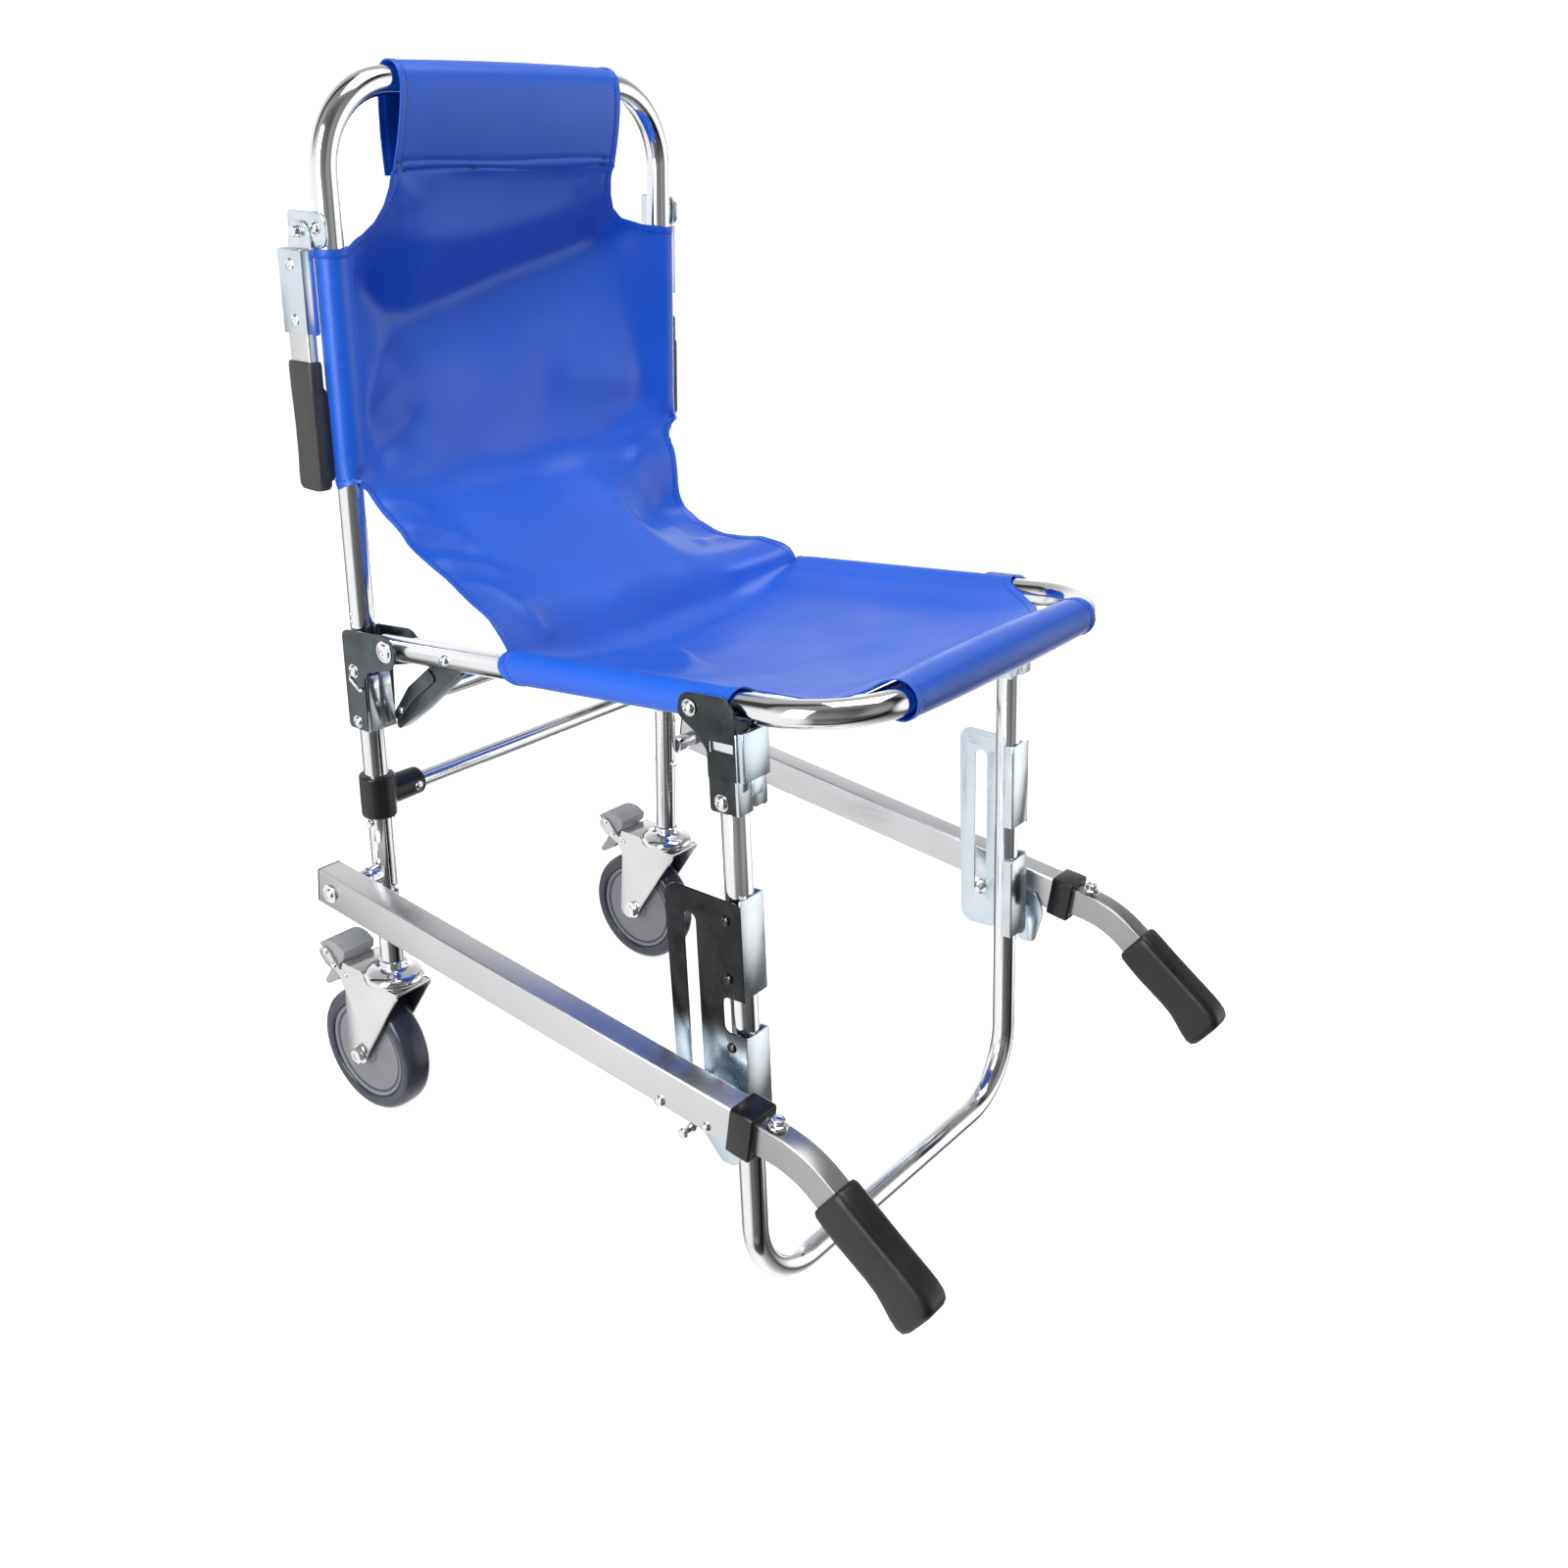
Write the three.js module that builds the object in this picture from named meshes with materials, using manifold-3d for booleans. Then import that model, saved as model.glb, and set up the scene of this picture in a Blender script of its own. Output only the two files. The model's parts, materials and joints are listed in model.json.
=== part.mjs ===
// Folding stair chair: an aluminium tube chair with a sling seat, two swivel
// castors at the back, telescoping carry handles at the front foot end and
// fold-down carry handles on the back posts.
// Millimetres, +Z up, the chair faces -Y, origin on the floor under the middle.
// Inside the chair group y = 0 is the plane of the back posts.
import * as THREE from 'three';
import Module from 'manifold-3d';
import { mergeVertices } from 'three/addons/utils/BufferGeometryUtils.js';

const wasm = await Module();
wasm.setup();

// ---------------------------------------------------------------- dimensions
const TUBE_R = 11;            // frame tube radius (22 mm tube)
const BEND_R = 68;            // bend radius of the tube frames
const POST_X = 193;           // back posts, from the middle plane
const TOP_Z = 918;            // axis of the top rail of the back
const POST_BOTTOM = 171;      // lower end of the back posts
const SEAT_PIVOT = { y: -43, z: 480 };
const SEAT_TILT = 0.0908;     // seat rises towards the front (radians)
const SEAT_REACH = 463;       // seat pivot to front bar axis, along the seat
const LEG_PIVOT_REACH = 336.4;// seat pivot to leg pivot, along the seat
const LEG_X = 197;
const LEG_LEAN = 0.0639;      // foot of the leg frame stands forward of the pivot
const LEG_AXIS = -26;         // leg tube axis in front of the leg pivot
const SLOT_Y = 10.5;          // slot centre line behind the leg pivot line
const SLOT_REST = -303.2;     // slot pin below the leg pivot, chair open
const SLOT_TRAVEL = 135.4;     // slide of the pin while folding
const PIN_R = 3;
const RAIL_PIVOT = { y: -3, z: 262 };
const RAIL_SLOPE = 0.1141;    // rails fall towards the front (radians)
const RAIL_X = 244.5;         // rail middle plane
const RAIL_W = 24;
const RAIL_H = 32.6;
const RAIL_WALL = 2;
const RAIL_BACK = 15;         // rail behind its pivot
const RAIL_FRONT = 470;       // rail in front of its pivot
const RAIL_RISE = 1.5;        // rail axis above its pivot
const WHEEL_R = 62.5;
const WHEEL_W = 30;
const WHEEL_TRAIL = 34.5;
const HANDLE_HINGE = { y: 17, z: 809 };
const GAP = 0.3;
const ORIGIN_Y = 267;         // back posts behind the middle of the footprint

// ------------------------------------------------------------------ materials
function finish(color, roughness, metalness) {
  return new THREE.MeshStandardMaterial({ color, roughness, metalness });
}
const polished = finish(0xd9dbde, 0.16, 1.0);
const satin = finish(0xc4c3c6, 0.38, 0.9);
const zinc = finish(0xa9b4ba, 0.3, 0.9);
const chrome = finish(0xe2e4e6, 0.08, 1.0);
const black = finish(0x1b1b1c, 0.5, 0.0);
const greyPlastic = finish(0x7e8186, 0.5, 0.0);
const hubGrey = finish(0x8a8c92, 0.55, 0.0);
const tyreGrey = finish(0x4a4d5a, 0.4, 0.0);
const blue = finish(0x2456c4, 0.42, 0.0);

// -------------------------------------------------------------- solid helpers
function toSolid(geometry) {
  const g = geometry.clone();
  for (const name of Object.keys(g.attributes)) {
    if (name !== 'position') g.deleteAttribute(name);
  }
  const merged = mergeVertices(g, 1e-4);
  const mesh = new wasm.Mesh({
    numProp: 3,
    vertProperties: new Float32Array(merged.attributes.position.array),
    triVerts: new Uint32Array(merged.index.array),
  });
  return new wasm.Manifold(mesh);
}

function toGeometry(solid) {
  const mesh = solid.getMesh();
  const g = new THREE.BufferGeometry();
  g.setAttribute('position', new THREE.BufferAttribute(new Float32Array(mesh.vertProperties), 3));
  g.setIndex(new THREE.BufferAttribute(new Uint32Array(mesh.triVerts), 1));
  g.computeVertexNormals();
  return g;
}

function join(...geometries) {
  return toGeometry(geometries.map(toSolid).reduce((a, b) => a.add(b)));
}

function cut(geometry, ...tools) {
  return toGeometry(tools.map(toSolid).reduce((a, b) => a.subtract(b), toSolid(geometry)));
}

function block(x0, x1, y0, y1, z0, z1) {
  const g = new THREE.BoxGeometry(x1 - x0, y1 - y0, z1 - z0);
  return g.translate((x0 + x1) / 2, (y0 + y1) / 2, (z0 + z1) / 2);
}

// a round bar between two points on a line parallel to X, Y or Z
function barX(x0, x1, y, z, r, n = 16, r2 = r) {
  const g = new THREE.CylinderGeometry(r2, r, x1 - x0, n);
  return g.rotateZ(-Math.PI / 2).translate((x0 + x1) / 2, y, z);
}

function barZ(x, y, z0, z1, r, n = 20, r2 = r) {
  const g = new THREE.CylinderGeometry(r2, r, z1 - z0, n);
  return g.rotateX(Math.PI / 2).translate(x, y, (z0 + z1) / 2);
}

// a flat plate: an outline in (y, z) given a thickness from x0 to x1
function plate(outline, x0, x1, holes = []) {
  const shape = new THREE.Shape(outline.map(([y, z]) => new THREE.Vector2(y, z)));
  for (const hole of holes) {
    shape.holes.push(new THREE.Path(hole.map(([y, z]) => new THREE.Vector2(y, z))));
  }
  const g = new THREE.ExtrudeGeometry(shape, { depth: x1 - x0, bevelEnabled: false });
  const m = new THREE.Matrix4().set(0, 0, 1, x0, 1, 0, 0, 0, 0, 1, 0, 0, 0, 0, 0, 1);
  return g.applyMatrix4(m);
}

// rounds the corners of an outline; each point is [a, b, radius]
function rounded(points, steps = 3) {
  const out = [];
  const n = points.length;
  points.forEach(([a, b, r = 0], i) => {
    const p = new THREE.Vector2(a, b);
    if (r === 0) {
      out.push([a, b]);
      return;
    }
    const before = points[(i + n - 1) % n];
    const after = points[(i + 1) % n];
    const u = new THREE.Vector2(before[0], before[1]).sub(p).normalize();
    const v = new THREE.Vector2(after[0], after[1]).sub(p).normalize();
    const half = Math.acos(u.dot(v)) / 2;
    const centre = p.clone().add(u.clone().add(v).normalize().multiplyScalar(r / Math.sin(half)));
    const s = p.clone().addScaledVector(u, r / Math.tan(half)).sub(centre);
    const e = p.clone().addScaledVector(v, r / Math.tan(half)).sub(centre);
    const a0 = Math.atan2(s.y, s.x);
    const turn = Math.atan2(s.x * e.y - s.y * e.x, s.dot(e));
    for (let k = 0; k <= steps; k += 1) {
      const t = a0 + (turn * k) / steps;
      out.push([centre.x + r * Math.cos(t), centre.y + r * Math.sin(t)]);
    }
  });
  return out;
}

// a polyline with rounded corners, walked point by point rather than by length
class BentPath extends THREE.Curve {
  constructor(corners, bend, steps) {
    super();
    this.points = [corners[0].clone()];
    for (let i = 1; i < corners.length - 1; i += 1) {
      const p = corners[i];
      const u = corners[i - 1].clone().sub(p).normalize();
      const v = corners[i + 1].clone().sub(p).normalize();
      const half = u.angleTo(v) / 2;
      const axis = u.clone().add(v).normalize();
      const centre = p.clone().addScaledVector(axis, bend / Math.sin(half));
      const s = p.clone().addScaledVector(u, bend / Math.tan(half)).sub(centre);
      const e = p.clone().addScaledVector(v, bend / Math.tan(half)).sub(centre);
      const total = s.angleTo(e);
      const side = e.clone().addScaledVector(s, -s.dot(e) / s.lengthSq()).normalize();
      for (let k = 0; k <= steps; k += 1) {
        const t = (total * k) / steps;
        const q = s.clone().multiplyScalar(Math.cos(t));
        q.addScaledVector(side, bend * Math.sin(t));
        this.points.push(q.add(centre));
      }
    }
    this.points.push(corners[corners.length - 1].clone());
  }

  at(u) {
    const n = this.points.length - 1;
    return Math.min(Math.round(u * n), n);
  }

  getPointAt(u) {
    return this.points[this.at(u)].clone();
  }

  getPoint(u) {
    return this.getPointAt(u);
  }

  getTangentAt(u) {
    const i = this.at(u);
    const a = this.points[Math.max(i - 1, 0)];
    const b = this.points[i];
    const c = this.points[Math.min(i + 1, this.points.length - 1)];
    const t = new THREE.Vector3();
    if (i > 0) t.add(b.clone().sub(a).normalize());
    if (i < this.points.length - 1) t.add(c.clone().sub(b).normalize());
    return t.normalize();
  }
}

function circle(r) {
  const s = new THREE.Shape();
  s.absarc(0, 0, r, 0, Math.PI * 2, false);
  return s;
}

function tube(corners, r, bend, sides = 9, steps = 6) {
  const path = new BentPath(corners.map((c) => new THREE.Vector3(...c)), bend, steps);
  return new THREE.ExtrudeGeometry(circle(r), {
    steps: path.points.length - 1,
    curveSegments: sides,
    extrudePath: path,
    bevelEnabled: false,
  });
}

// turned shape about Z from [radius, height] pairs
function turned(profile, n = 28) {
  const points = profile.map(([r, h]) => new THREE.Vector2(r, h));
  return new THREE.LatheGeometry(points, n).rotateX(Math.PI / 2);
}

// ---------------------------------------------------------------- scene graph
const part = new THREE.Group();
const chair = new THREE.Group();
chair.position.y = ORIGIN_Y;
part.add(chair);

function frameAt(parent, y, z, turn) {
  const g = new THREE.Group();
  g.position.set(0, y, z);
  g.rotation.x = turn;
  parent.add(g);
  return g;
}

function add(parent, name, geometry, material) {
  const mesh = new THREE.Mesh(geometry, material);
  mesh.name = name;
  parent.add(mesh);
  return mesh;
}

// the mirrored pieces: build(-1) makes the right-hand one, at -X
function mirrored(geometry) {
  const g = geometry.index ? geometry.toNonIndexed() : geometry.clone();
  g.scale(-1, 1, 1);
  const p = g.attributes.position;
  for (let i = 0; i < p.count; i += 3) {
    const b = new THREE.Vector3().fromBufferAttribute(p, i + 1);
    const c = new THREE.Vector3().fromBufferAttribute(p, i + 2);
    p.setXYZ(i + 1, c.x, c.y, c.z);
    p.setXYZ(i + 2, b.x, b.y, b.z);
  }
  g.deleteAttribute('normal');
  g.deleteAttribute('uv');
  g.computeVertexNormals();
  return g;
}

// adds NAME_l at +X and its mirror image NAME_r at -X
function pair(parent, name, geometry, material) {
  add(parent, `${name}_l`, geometry, material);
  add(parent, `${name}_r`, mirrored(geometry), material);
}

// ----------------------------------------------------------------- back frame
const back = new THREE.Group();
chair.add(back);

add(back, 'back_frame_tube', tube([
  [-POST_X, 0, POST_BOTTOM],
  [-POST_X, 0, TOP_Z],
  [POST_X, 0, TOP_Z],
  [POST_X, 0, POST_BOTTOM],
], TUBE_R, BEND_R, 8, 6), polished);

const CROSS_Z = 334;
const CROSS_R = 8;
const CLAMP_ARM = 148;
add(back, 'cross_tube', barX(-CLAMP_ARM - 22, CLAMP_ARM + 22, 0, CROSS_Z, CROSS_R, 18), polished);

pair(back, 'cross_clamp', cut(
  join(
    barZ(POST_X, 0, 316, 355, 15.5, 22),
    barX(CLAMP_ARM, POST_X, 0, CROSS_Z + 2, 12.5, 20),
  ),
  barZ(POST_X, 0, 300, 370, TUBE_R + 0.2, 22),
  barX(CLAMP_ARM - 10, CLAMP_ARM + 23, 0, CROSS_Z, CROSS_R + 0.2, 18),
), black);

// channel bracket round the front of each post, with two ears for the seat tube
const BRACKET_FRONT = -14;
const earOutline = rounded([
  [12, 401, 4],
  [12, 489, 7],
  [-50, 494, 12],
  [-56, 468, 10],
  [-36, 461, 6],
  [-14, 452, 2],
  [-14, 401, 1],
]);
const seatBracket = cut(
  join(
    plate(earOutline, POST_X + 12.4, POST_X + 14.6),
    plate(earOutline, POST_X - 14.6, POST_X - 12.4),
    block(POST_X - 14.6, POST_X + 14.6, -15.4, -12.2, 401, 456),
    barX(POST_X + 14, POST_X + 17, 0, 454, 6, 12),
    barX(POST_X + 14, POST_X + 17, 0, 408, 6, 12),
    barX(POST_X - 17, POST_X - 14, 0, 454, 5, 12),
    barX(POST_X - 17, POST_X - 14, 0, 408, 5, 12),
  ),
  barX(POST_X - 30, POST_X + 30, SEAT_PIVOT.y, SEAT_PIVOT.z, 4.3, 16),
);
pair(back, 'seat_bracket', seatBracket, zinc);

pair(back, 'seat_pivot_bolt', join(
  barX(POST_X - 20, POST_X + 17, SEAT_PIVOT.y, SEAT_PIVOT.z, 4, 16),
  barX(POST_X + 14.9, POST_X + 17.8, SEAT_PIVOT.y, SEAT_PIVOT.z, 8, 6),
  barX(POST_X - 21, POST_X - 14.9, SEAT_PIVOT.y, SEAT_PIVOT.z, 7.5, 6),
), chrome);

// shouldered bolt carrying each side rail on its post
const RAIL_IN = RAIL_X - RAIL_W / 2;
const RAIL_OUT = RAIL_X + RAIL_W / 2;
pair(back, 'rail_pivot_bolt', join(
  barX(POST_X + TUBE_R + GAP, RAIL_IN - GAP, RAIL_PIVOT.y, RAIL_PIVOT.z, 9, 18),
  barX(RAIL_IN - 2, RAIL_OUT + 2, RAIL_PIVOT.y, RAIL_PIVOT.z, 4, 14),
  barX(RAIL_OUT + GAP, RAIL_OUT + 1.3, RAIL_PIVOT.y, RAIL_PIVOT.z, 8.5, 16),
  barX(RAIL_OUT + 1.2, RAIL_OUT + 3.5, RAIL_PIVOT.y, RAIL_PIVOT.z, 6.4, 6),
), chrome);

// plate behind each post that carries a folding rear handle
const mountOutline = rounded([
  [-9, 797, 3],
  [-9, 826, 6],
  [22, 826, 9],
  [32, 809, 9],
  [22, 795, 5],
], 3);
pair(back, 'rear_handle_mount', cut(
  join(
    plate(mountOutline, POST_X + 11.4, POST_X + 13.6),
    barX(POST_X + 13, POST_X + 16.4, 0, 809, 5.5, 12),
  ),
  barX(POST_X, POST_X + 30, HANDLE_HINGE.y, HANDLE_HINGE.z, 4.2, 14),
), zinc);

// ---------------------------------------------------------------- back castors
const STEM_TOP = 170.6;
pair(back, 'castor_stem', join(
  turned([
    [0, 149],
    [12, 149],
    [24, 150],
    [26, 152.5],
    [25, 156],
    [19, 159],
    [13, 160.5],
    [11, 163],
    [11, STEM_TOP],
    [0, STEM_TOP],
  ], 26).translate(POST_X, 0, 0),
), chrome);

const FORK_TOP = 148.6;
const PEDAL_PIVOT = { y: 62, z: 149 };
const FORK_IN = 18.5;
const FORK_OUT = 21;
const AXLE_Z = WHEEL_R;
const forkSide = rounded([
  [-26, FORK_TOP, 2],
  [-24, FORK_TOP - 14, 8],
  [WHEEL_TRAIL - 13, AXLE_Z - 6, 10],
  [WHEEL_TRAIL + 12, AXLE_Z - 6, 10],
  [WHEEL_TRAIL + 13, 118, 12],
  [62, 132, 4],
  [72, 158, 5],
  [62, 160, 5],
  [48, FORK_TOP, 4],
], 3);
const fork = join(
  plate(forkSide, POST_X + FORK_IN, POST_X + FORK_OUT),
  plate(forkSide, POST_X - FORK_OUT, POST_X - FORK_IN),
  block(POST_X - FORK_OUT, POST_X + FORK_OUT, -26, 40, FORK_TOP - 3, FORK_TOP),
  barX(POST_X - FORK_OUT - 1, POST_X + FORK_OUT + 1, PEDAL_PIVOT.y, PEDAL_PIVOT.z, 2.7, 12),
  barX(POST_X - FORK_OUT - 1, POST_X + FORK_OUT + 1, WHEEL_TRAIL, AXLE_Z, 4, 16),
  barX(POST_X + FORK_OUT - 1, POST_X + FORK_OUT + 6, WHEEL_TRAIL, AXLE_Z, 8.2, 6),
  barX(POST_X - FORK_OUT - 6, POST_X - FORK_OUT + 1, WHEEL_TRAIL, AXLE_Z, 8.2, 6),
);
pair(back, 'castor_fork', fork, zinc);

// wheel: grey disc hub with a bore for the axle, and the tyre round it
const HUB_R = 46;
const hubHalf = [
  [4.3, 12.5],
  [14, 12.5],
  [15, 10],
  [36, 10],
  [HUB_R, 11.6],
];
const hubProfile = [
  ...hubHalf.map(([r, h]) => [r, -h]),
  ...hubHalf.slice().reverse(),
  [4.3, -12.5],
];
const tyreInner = HUB_R + GAP;
const tyreProfile = [
  [tyreInner, -12],
  [WHEEL_R - 9, -WHEEL_W / 2],
  [WHEEL_R - 3, -WHEEL_W / 2 + 2.5],
  [WHEEL_R, -6],
  [WHEEL_R, 6],
  [WHEEL_R - 3, WHEEL_W / 2 - 2.5],
  [WHEEL_R - 9, WHEEL_W / 2],
  [tyreInner, 12],
  [tyreInner, -12],
];
function wheelPiece(profile) {
  const points = profile.map(([r, h]) => new THREE.Vector2(r, h));
  const g = new THREE.LatheGeometry(points, 30);
  return g.rotateZ(-Math.PI / 2).translate(POST_X, WHEEL_TRAIL, AXLE_Z);
}
pair(back, 'wheel_hub', wheelPiece(hubProfile), hubGrey);
pair(back, 'wheel_tyre', wheelPiece(tyreProfile), tyreGrey);

// total-lock pedal between the fork cheeks: upper pad and lower release tongue
const pedal = rounded([
  [50, 144, 3],
  [58, 143, 3],
  [70, 128, 3],
  [84, 117, 3],
  [87, 122, 2],
  [77, 136, 5],
  [77, 148, 5],
  [84, 162, 5],
  [80, 170, 4],
  [58, 172, 5],
  [53, 160, 4],
], 2);
pair(back, 'brake_pedal', cut(
  plate(pedal, POST_X - FORK_IN + 0.6, POST_X + FORK_IN - 0.6),
  barX(POST_X - 30, POST_X + 30, PEDAL_PIVOT.y, PEDAL_PIVOT.z, 3, 12),
), greyPlastic);

// ------------------------------------------------------------ rear handle pair
const HX = POST_X + 20.2;
pair(back, 'rear_handle_bracket', join(
  plate(rounded([
    [HANDLE_HINGE.y - 14, 731, 2],
    [HANDLE_HINGE.y - 14, 800, 4],
    [HANDLE_HINGE.y - 8, 817, 7],
    [HANDLE_HINGE.y + 9, 817, 8],
    [HANDLE_HINGE.y + 14, 800, 4],
    [HANDLE_HINGE.y + 14, 731, 2],
  ], 2), HX - 6.1, HX - 4.1),
  barX(POST_X + 10.2, HX + 1, HANDLE_HINGE.y, HANDLE_HINGE.z, 4, 14),
  barX(HX - 5, HX + 0.6, HANDLE_HINGE.y, HANDLE_HINGE.z, 7, 12),
), zinc);
pair(back, 'rear_handle_arm', join(
  block(HX - 3.8, HX + 5.2, HANDLE_HINGE.y - 12, HANDLE_HINGE.y + 12, 614, 797),
  barX(HX + 5, HX + 8, HANDLE_HINGE.y, 785, 5, 12),
  barX(HX + 5, HX + 8, HANDLE_HINGE.y, 743, 5, 12),
), satin);
const gripOutline = rounded([
  [HANDLE_HINGE.y - 15, 609, 6],
  [HANDLE_HINGE.y - 13, 650, 20],
  [HANDLE_HINGE.y - 15, 711, 3],
  [HANDLE_HINGE.y + 15, 711, 3],
  [HANDLE_HINGE.y + 13, 650, 20],
  [HANDLE_HINGE.y + 15, 609, 6],
], 3);
pair(back, 'rear_handle_grip', cut(
  plate(gripOutline, HX - 6.4, HX + 8.4),
  block(HX - 4.1, HX + 5.5, HANDLE_HINGE.y - 12.3, HANDLE_HINGE.y + 12.3, 613.6, 720),
), black);

// back part of the sling, a plain slab hung between the posts
const SLING_T = 4;
const slingHalf = [
  [178, 500],
  [178, 800],
  [124, 858],
  [124, 903],
];
function slab(half, y0, y1) {
  const outline = [...half, ...half.slice().reverse().map(([x, z]) => [-x, z])];
  const shape = new THREE.Shape(outline.map(([x, z]) => new THREE.Vector2(x, z)));
  const g = new THREE.ExtrudeGeometry(shape, { depth: y1 - y0, bevelEnabled: false });
  return g.rotateX(Math.PI / 2).translate(0, y1, 0);
}
add(back, 'back_sling', slab(slingHalf, -2 - SLING_T, -2), blue);

// ----------------------------------------------------------------- seat frame
// in the seat's own frame: origin at the pivot, -Y along the seat tubes
const seat = frameAt(chair, SEAT_PIVOT.y, SEAT_PIVOT.z, -SEAT_TILT);
const LP = -LEG_PIVOT_REACH;
add(seat, 'seat_tube', cut(
  tube([
    [-POST_X, 15, 0],
    [-POST_X, -SEAT_REACH, 0],
    [POST_X, -SEAT_REACH, 0],
    [POST_X, 15, 0],
  ], TUBE_R, BEND_R - 3, 8, 6),
  barX(-POST_X - 30, -POST_X + 30, 0, 0, 4.3, 16),
  barX(POST_X - 30, POST_X + 30, 0, 0, 4.3, 16),
  barX(-POST_X - 30, -POST_X + 30, LP, 0, 4.3, 16),
  barX(POST_X - 30, POST_X + 30, LP, 0, 4.3, 16),
), polished);

// stay plate on the inner side of each seat tube, flanged along its lower edge,
// and the cross bar that joins the two stays
const STAY_OUT = POST_X - TUBE_R - 0.2;
const STAY_BAR = { y: -2, z: -42.5, r: 10.5 };
const stayOutline = rounded([
  [-82, 5, 4],
  [-48, 5, 4],
  [-24, -16, 3],
  [2, -35, 6],
  [27, -64, 4],
  [33, -81.8, 2],
  [28, -78.6, 0],
  [-1, -60.5, 0],
  [-58.6, -19, 0],
  [-82, -3, 4],
], 2);
const stayFlange = [
  [-56, -20.9],
  [-1, -60.5],
  [28, -78.6],
  [29.1, -76.9],
  [0.1, -58.8],
  [-54.8, -19.3],
];
pair(seat, 'seat_brace', cut(
  join(
    plate(stayOutline, STAY_OUT - 2.2, STAY_OUT),
    plate(stayFlange, STAY_OUT - 14, STAY_OUT),
    barX(STAY_OUT - 5, STAY_OUT, -69, -1, 4.5, 14),
  ),
  barX(POST_X - 40, POST_X, STAY_BAR.y, STAY_BAR.z, 6.2, 14),
), zinc);
add(seat, 'seat_cross_tube', join(
  barX(-STAY_OUT + 2.5, STAY_OUT - 2.5, STAY_BAR.y, STAY_BAR.z, STAY_BAR.r, 20),
  barX(-STAY_OUT + 0.2, STAY_OUT - 0.2, STAY_BAR.y, STAY_BAR.z, 6, 14),
), polished);

pair(seat, 'leg_pivot_bolt', join(
  barX(POST_X - 19, POST_X + 21, LP, 0, 4, 16),
  barX(POST_X + 18.9, POST_X + 23, LP, 0, 7.5, 6),
  barX(POST_X - 20, POST_X - 15.9, LP, 0, 7.5, 6),
), chrome);

const seatHalf = [
  [168, -95],
  [168, -392],
  [120, -447],
];
const seatSlab = slab(seatHalf, -SLING_T / 2, SLING_T / 2).rotateX(-Math.PI / 2);
add(seat, 'seat_sling', seatSlab, blue);

// ------------------------------------------------------------------ leg frame
// origin at the leg pivot, Z along the leg tubes
const legPivotY = SEAT_PIVOT.y - LEG_PIVOT_REACH * Math.cos(SEAT_TILT);
const legPivotZ = SEAT_PIVOT.z + LEG_PIVOT_REACH * Math.sin(SEAT_TILT);
const leg = frameAt(chair, legPivotY, legPivotZ, -LEG_LEAN);
const LEG_TOP = -22;
const footDrop = (legPivotZ - TUBE_R - LEG_AXIS * Math.sin(LEG_LEAN)) / Math.cos(LEG_LEAN);
add(leg, 'front_leg_tube', tube([
  [-LEG_X, LEG_AXIS, LEG_TOP],
  [-LEG_X, LEG_AXIS, -footDrop],
  [LEG_X, LEG_AXIS, -footDrop],
  [LEG_X, LEG_AXIS, LEG_TOP],
], TUBE_R, BEND_R, 8, 6), polished);

const LB_OUT = POST_X + 16.4;
const legEar = rounded([
  [LEG_AXIS - 14.4, -76, 2],
  [LEG_AXIS - 14.4, 2, 3],
  [LEG_AXIS - 8, 14, 8],
  [8, 13, 8],
  [12, -6, 8],
  [-6, -18, 8],
  [LEG_AXIS + 12, -30, 4],
  [LEG_AXIS + 12, -76, 2],
], 2);
pair(leg, 'leg_bracket', cut(
  join(
    plate(legEar, LB_OUT, LB_OUT + 2),
    plate(legEar, POST_X - 15.6, POST_X - 13.4),
    block(POST_X - 15.6, LB_OUT + 2, LEG_AXIS - 14.4, LEG_AXIS - 12.3, -76, -14),
    barX(LB_OUT + 1, LB_OUT + 5, LEG_AXIS + 1, -68, 5.5, 12),
  ),
  barX(POST_X - 30, POST_X + 30, 0, 0, 4.3, 16),
), zinc);

// sprung clip at the front of each leg bracket that holds the leg open
pair(leg, 'leg_lock', join(
  block(POST_X - 13, POST_X + 17, LEG_AXIS - 20.6, LEG_AXIS - 18.6, -50, -13),
  block(POST_X - 13, POST_X - 11, LEG_AXIS - 20.6, LEG_AXIS - 14.8, -50, -13),
  block(POST_X + 15, POST_X + 17, LEG_AXIS - 20.6, LEG_AXIS - 14.8, -50, -13),
  block(POST_X - 4, POST_X + 8, LEG_AXIS - 20.6, LEG_AXIS - 16, -62, -50),
), zinc);

// slotted plate on the outer side of each leg, flanged round its front
const SLOT_W = PIN_R + 0.4;
const PX = LEG_X + TUBE_R + 3.5;
const slotTop = SLOT_REST + SLOT_TRAVEL;
const slotHole = rounded([
  [SLOT_Y - SLOT_W - 1.6, SLOT_REST - SLOT_W - 1, 4],
  [SLOT_Y + SLOT_W + 1.6, SLOT_REST - SLOT_W - 1, 4],
  [SLOT_Y + SLOT_W + 1.6, slotTop + SLOT_W + 1, 4],
  [SLOT_Y - SLOT_W - 1.6, slotTop + SLOT_W + 1, 4],
], 3);
const PLATE_F = LEG_AXIS - TUBE_R - 0.3;
const slotOutline = rounded([
  [PLATE_F, -342, 8],
  [32, -342, 14],
  [34, -140, 10],
  [PLATE_F - 2, -140, 2],
  [PLATE_F - 2, -224, 1],
  [LEG_AXIS + 8, -224, 5],
  [LEG_AXIS + 8, -254, 5],
  [PLATE_F - 2, -254, 1],
  [PLATE_F - 2, -334, 1],
], 2);
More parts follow.
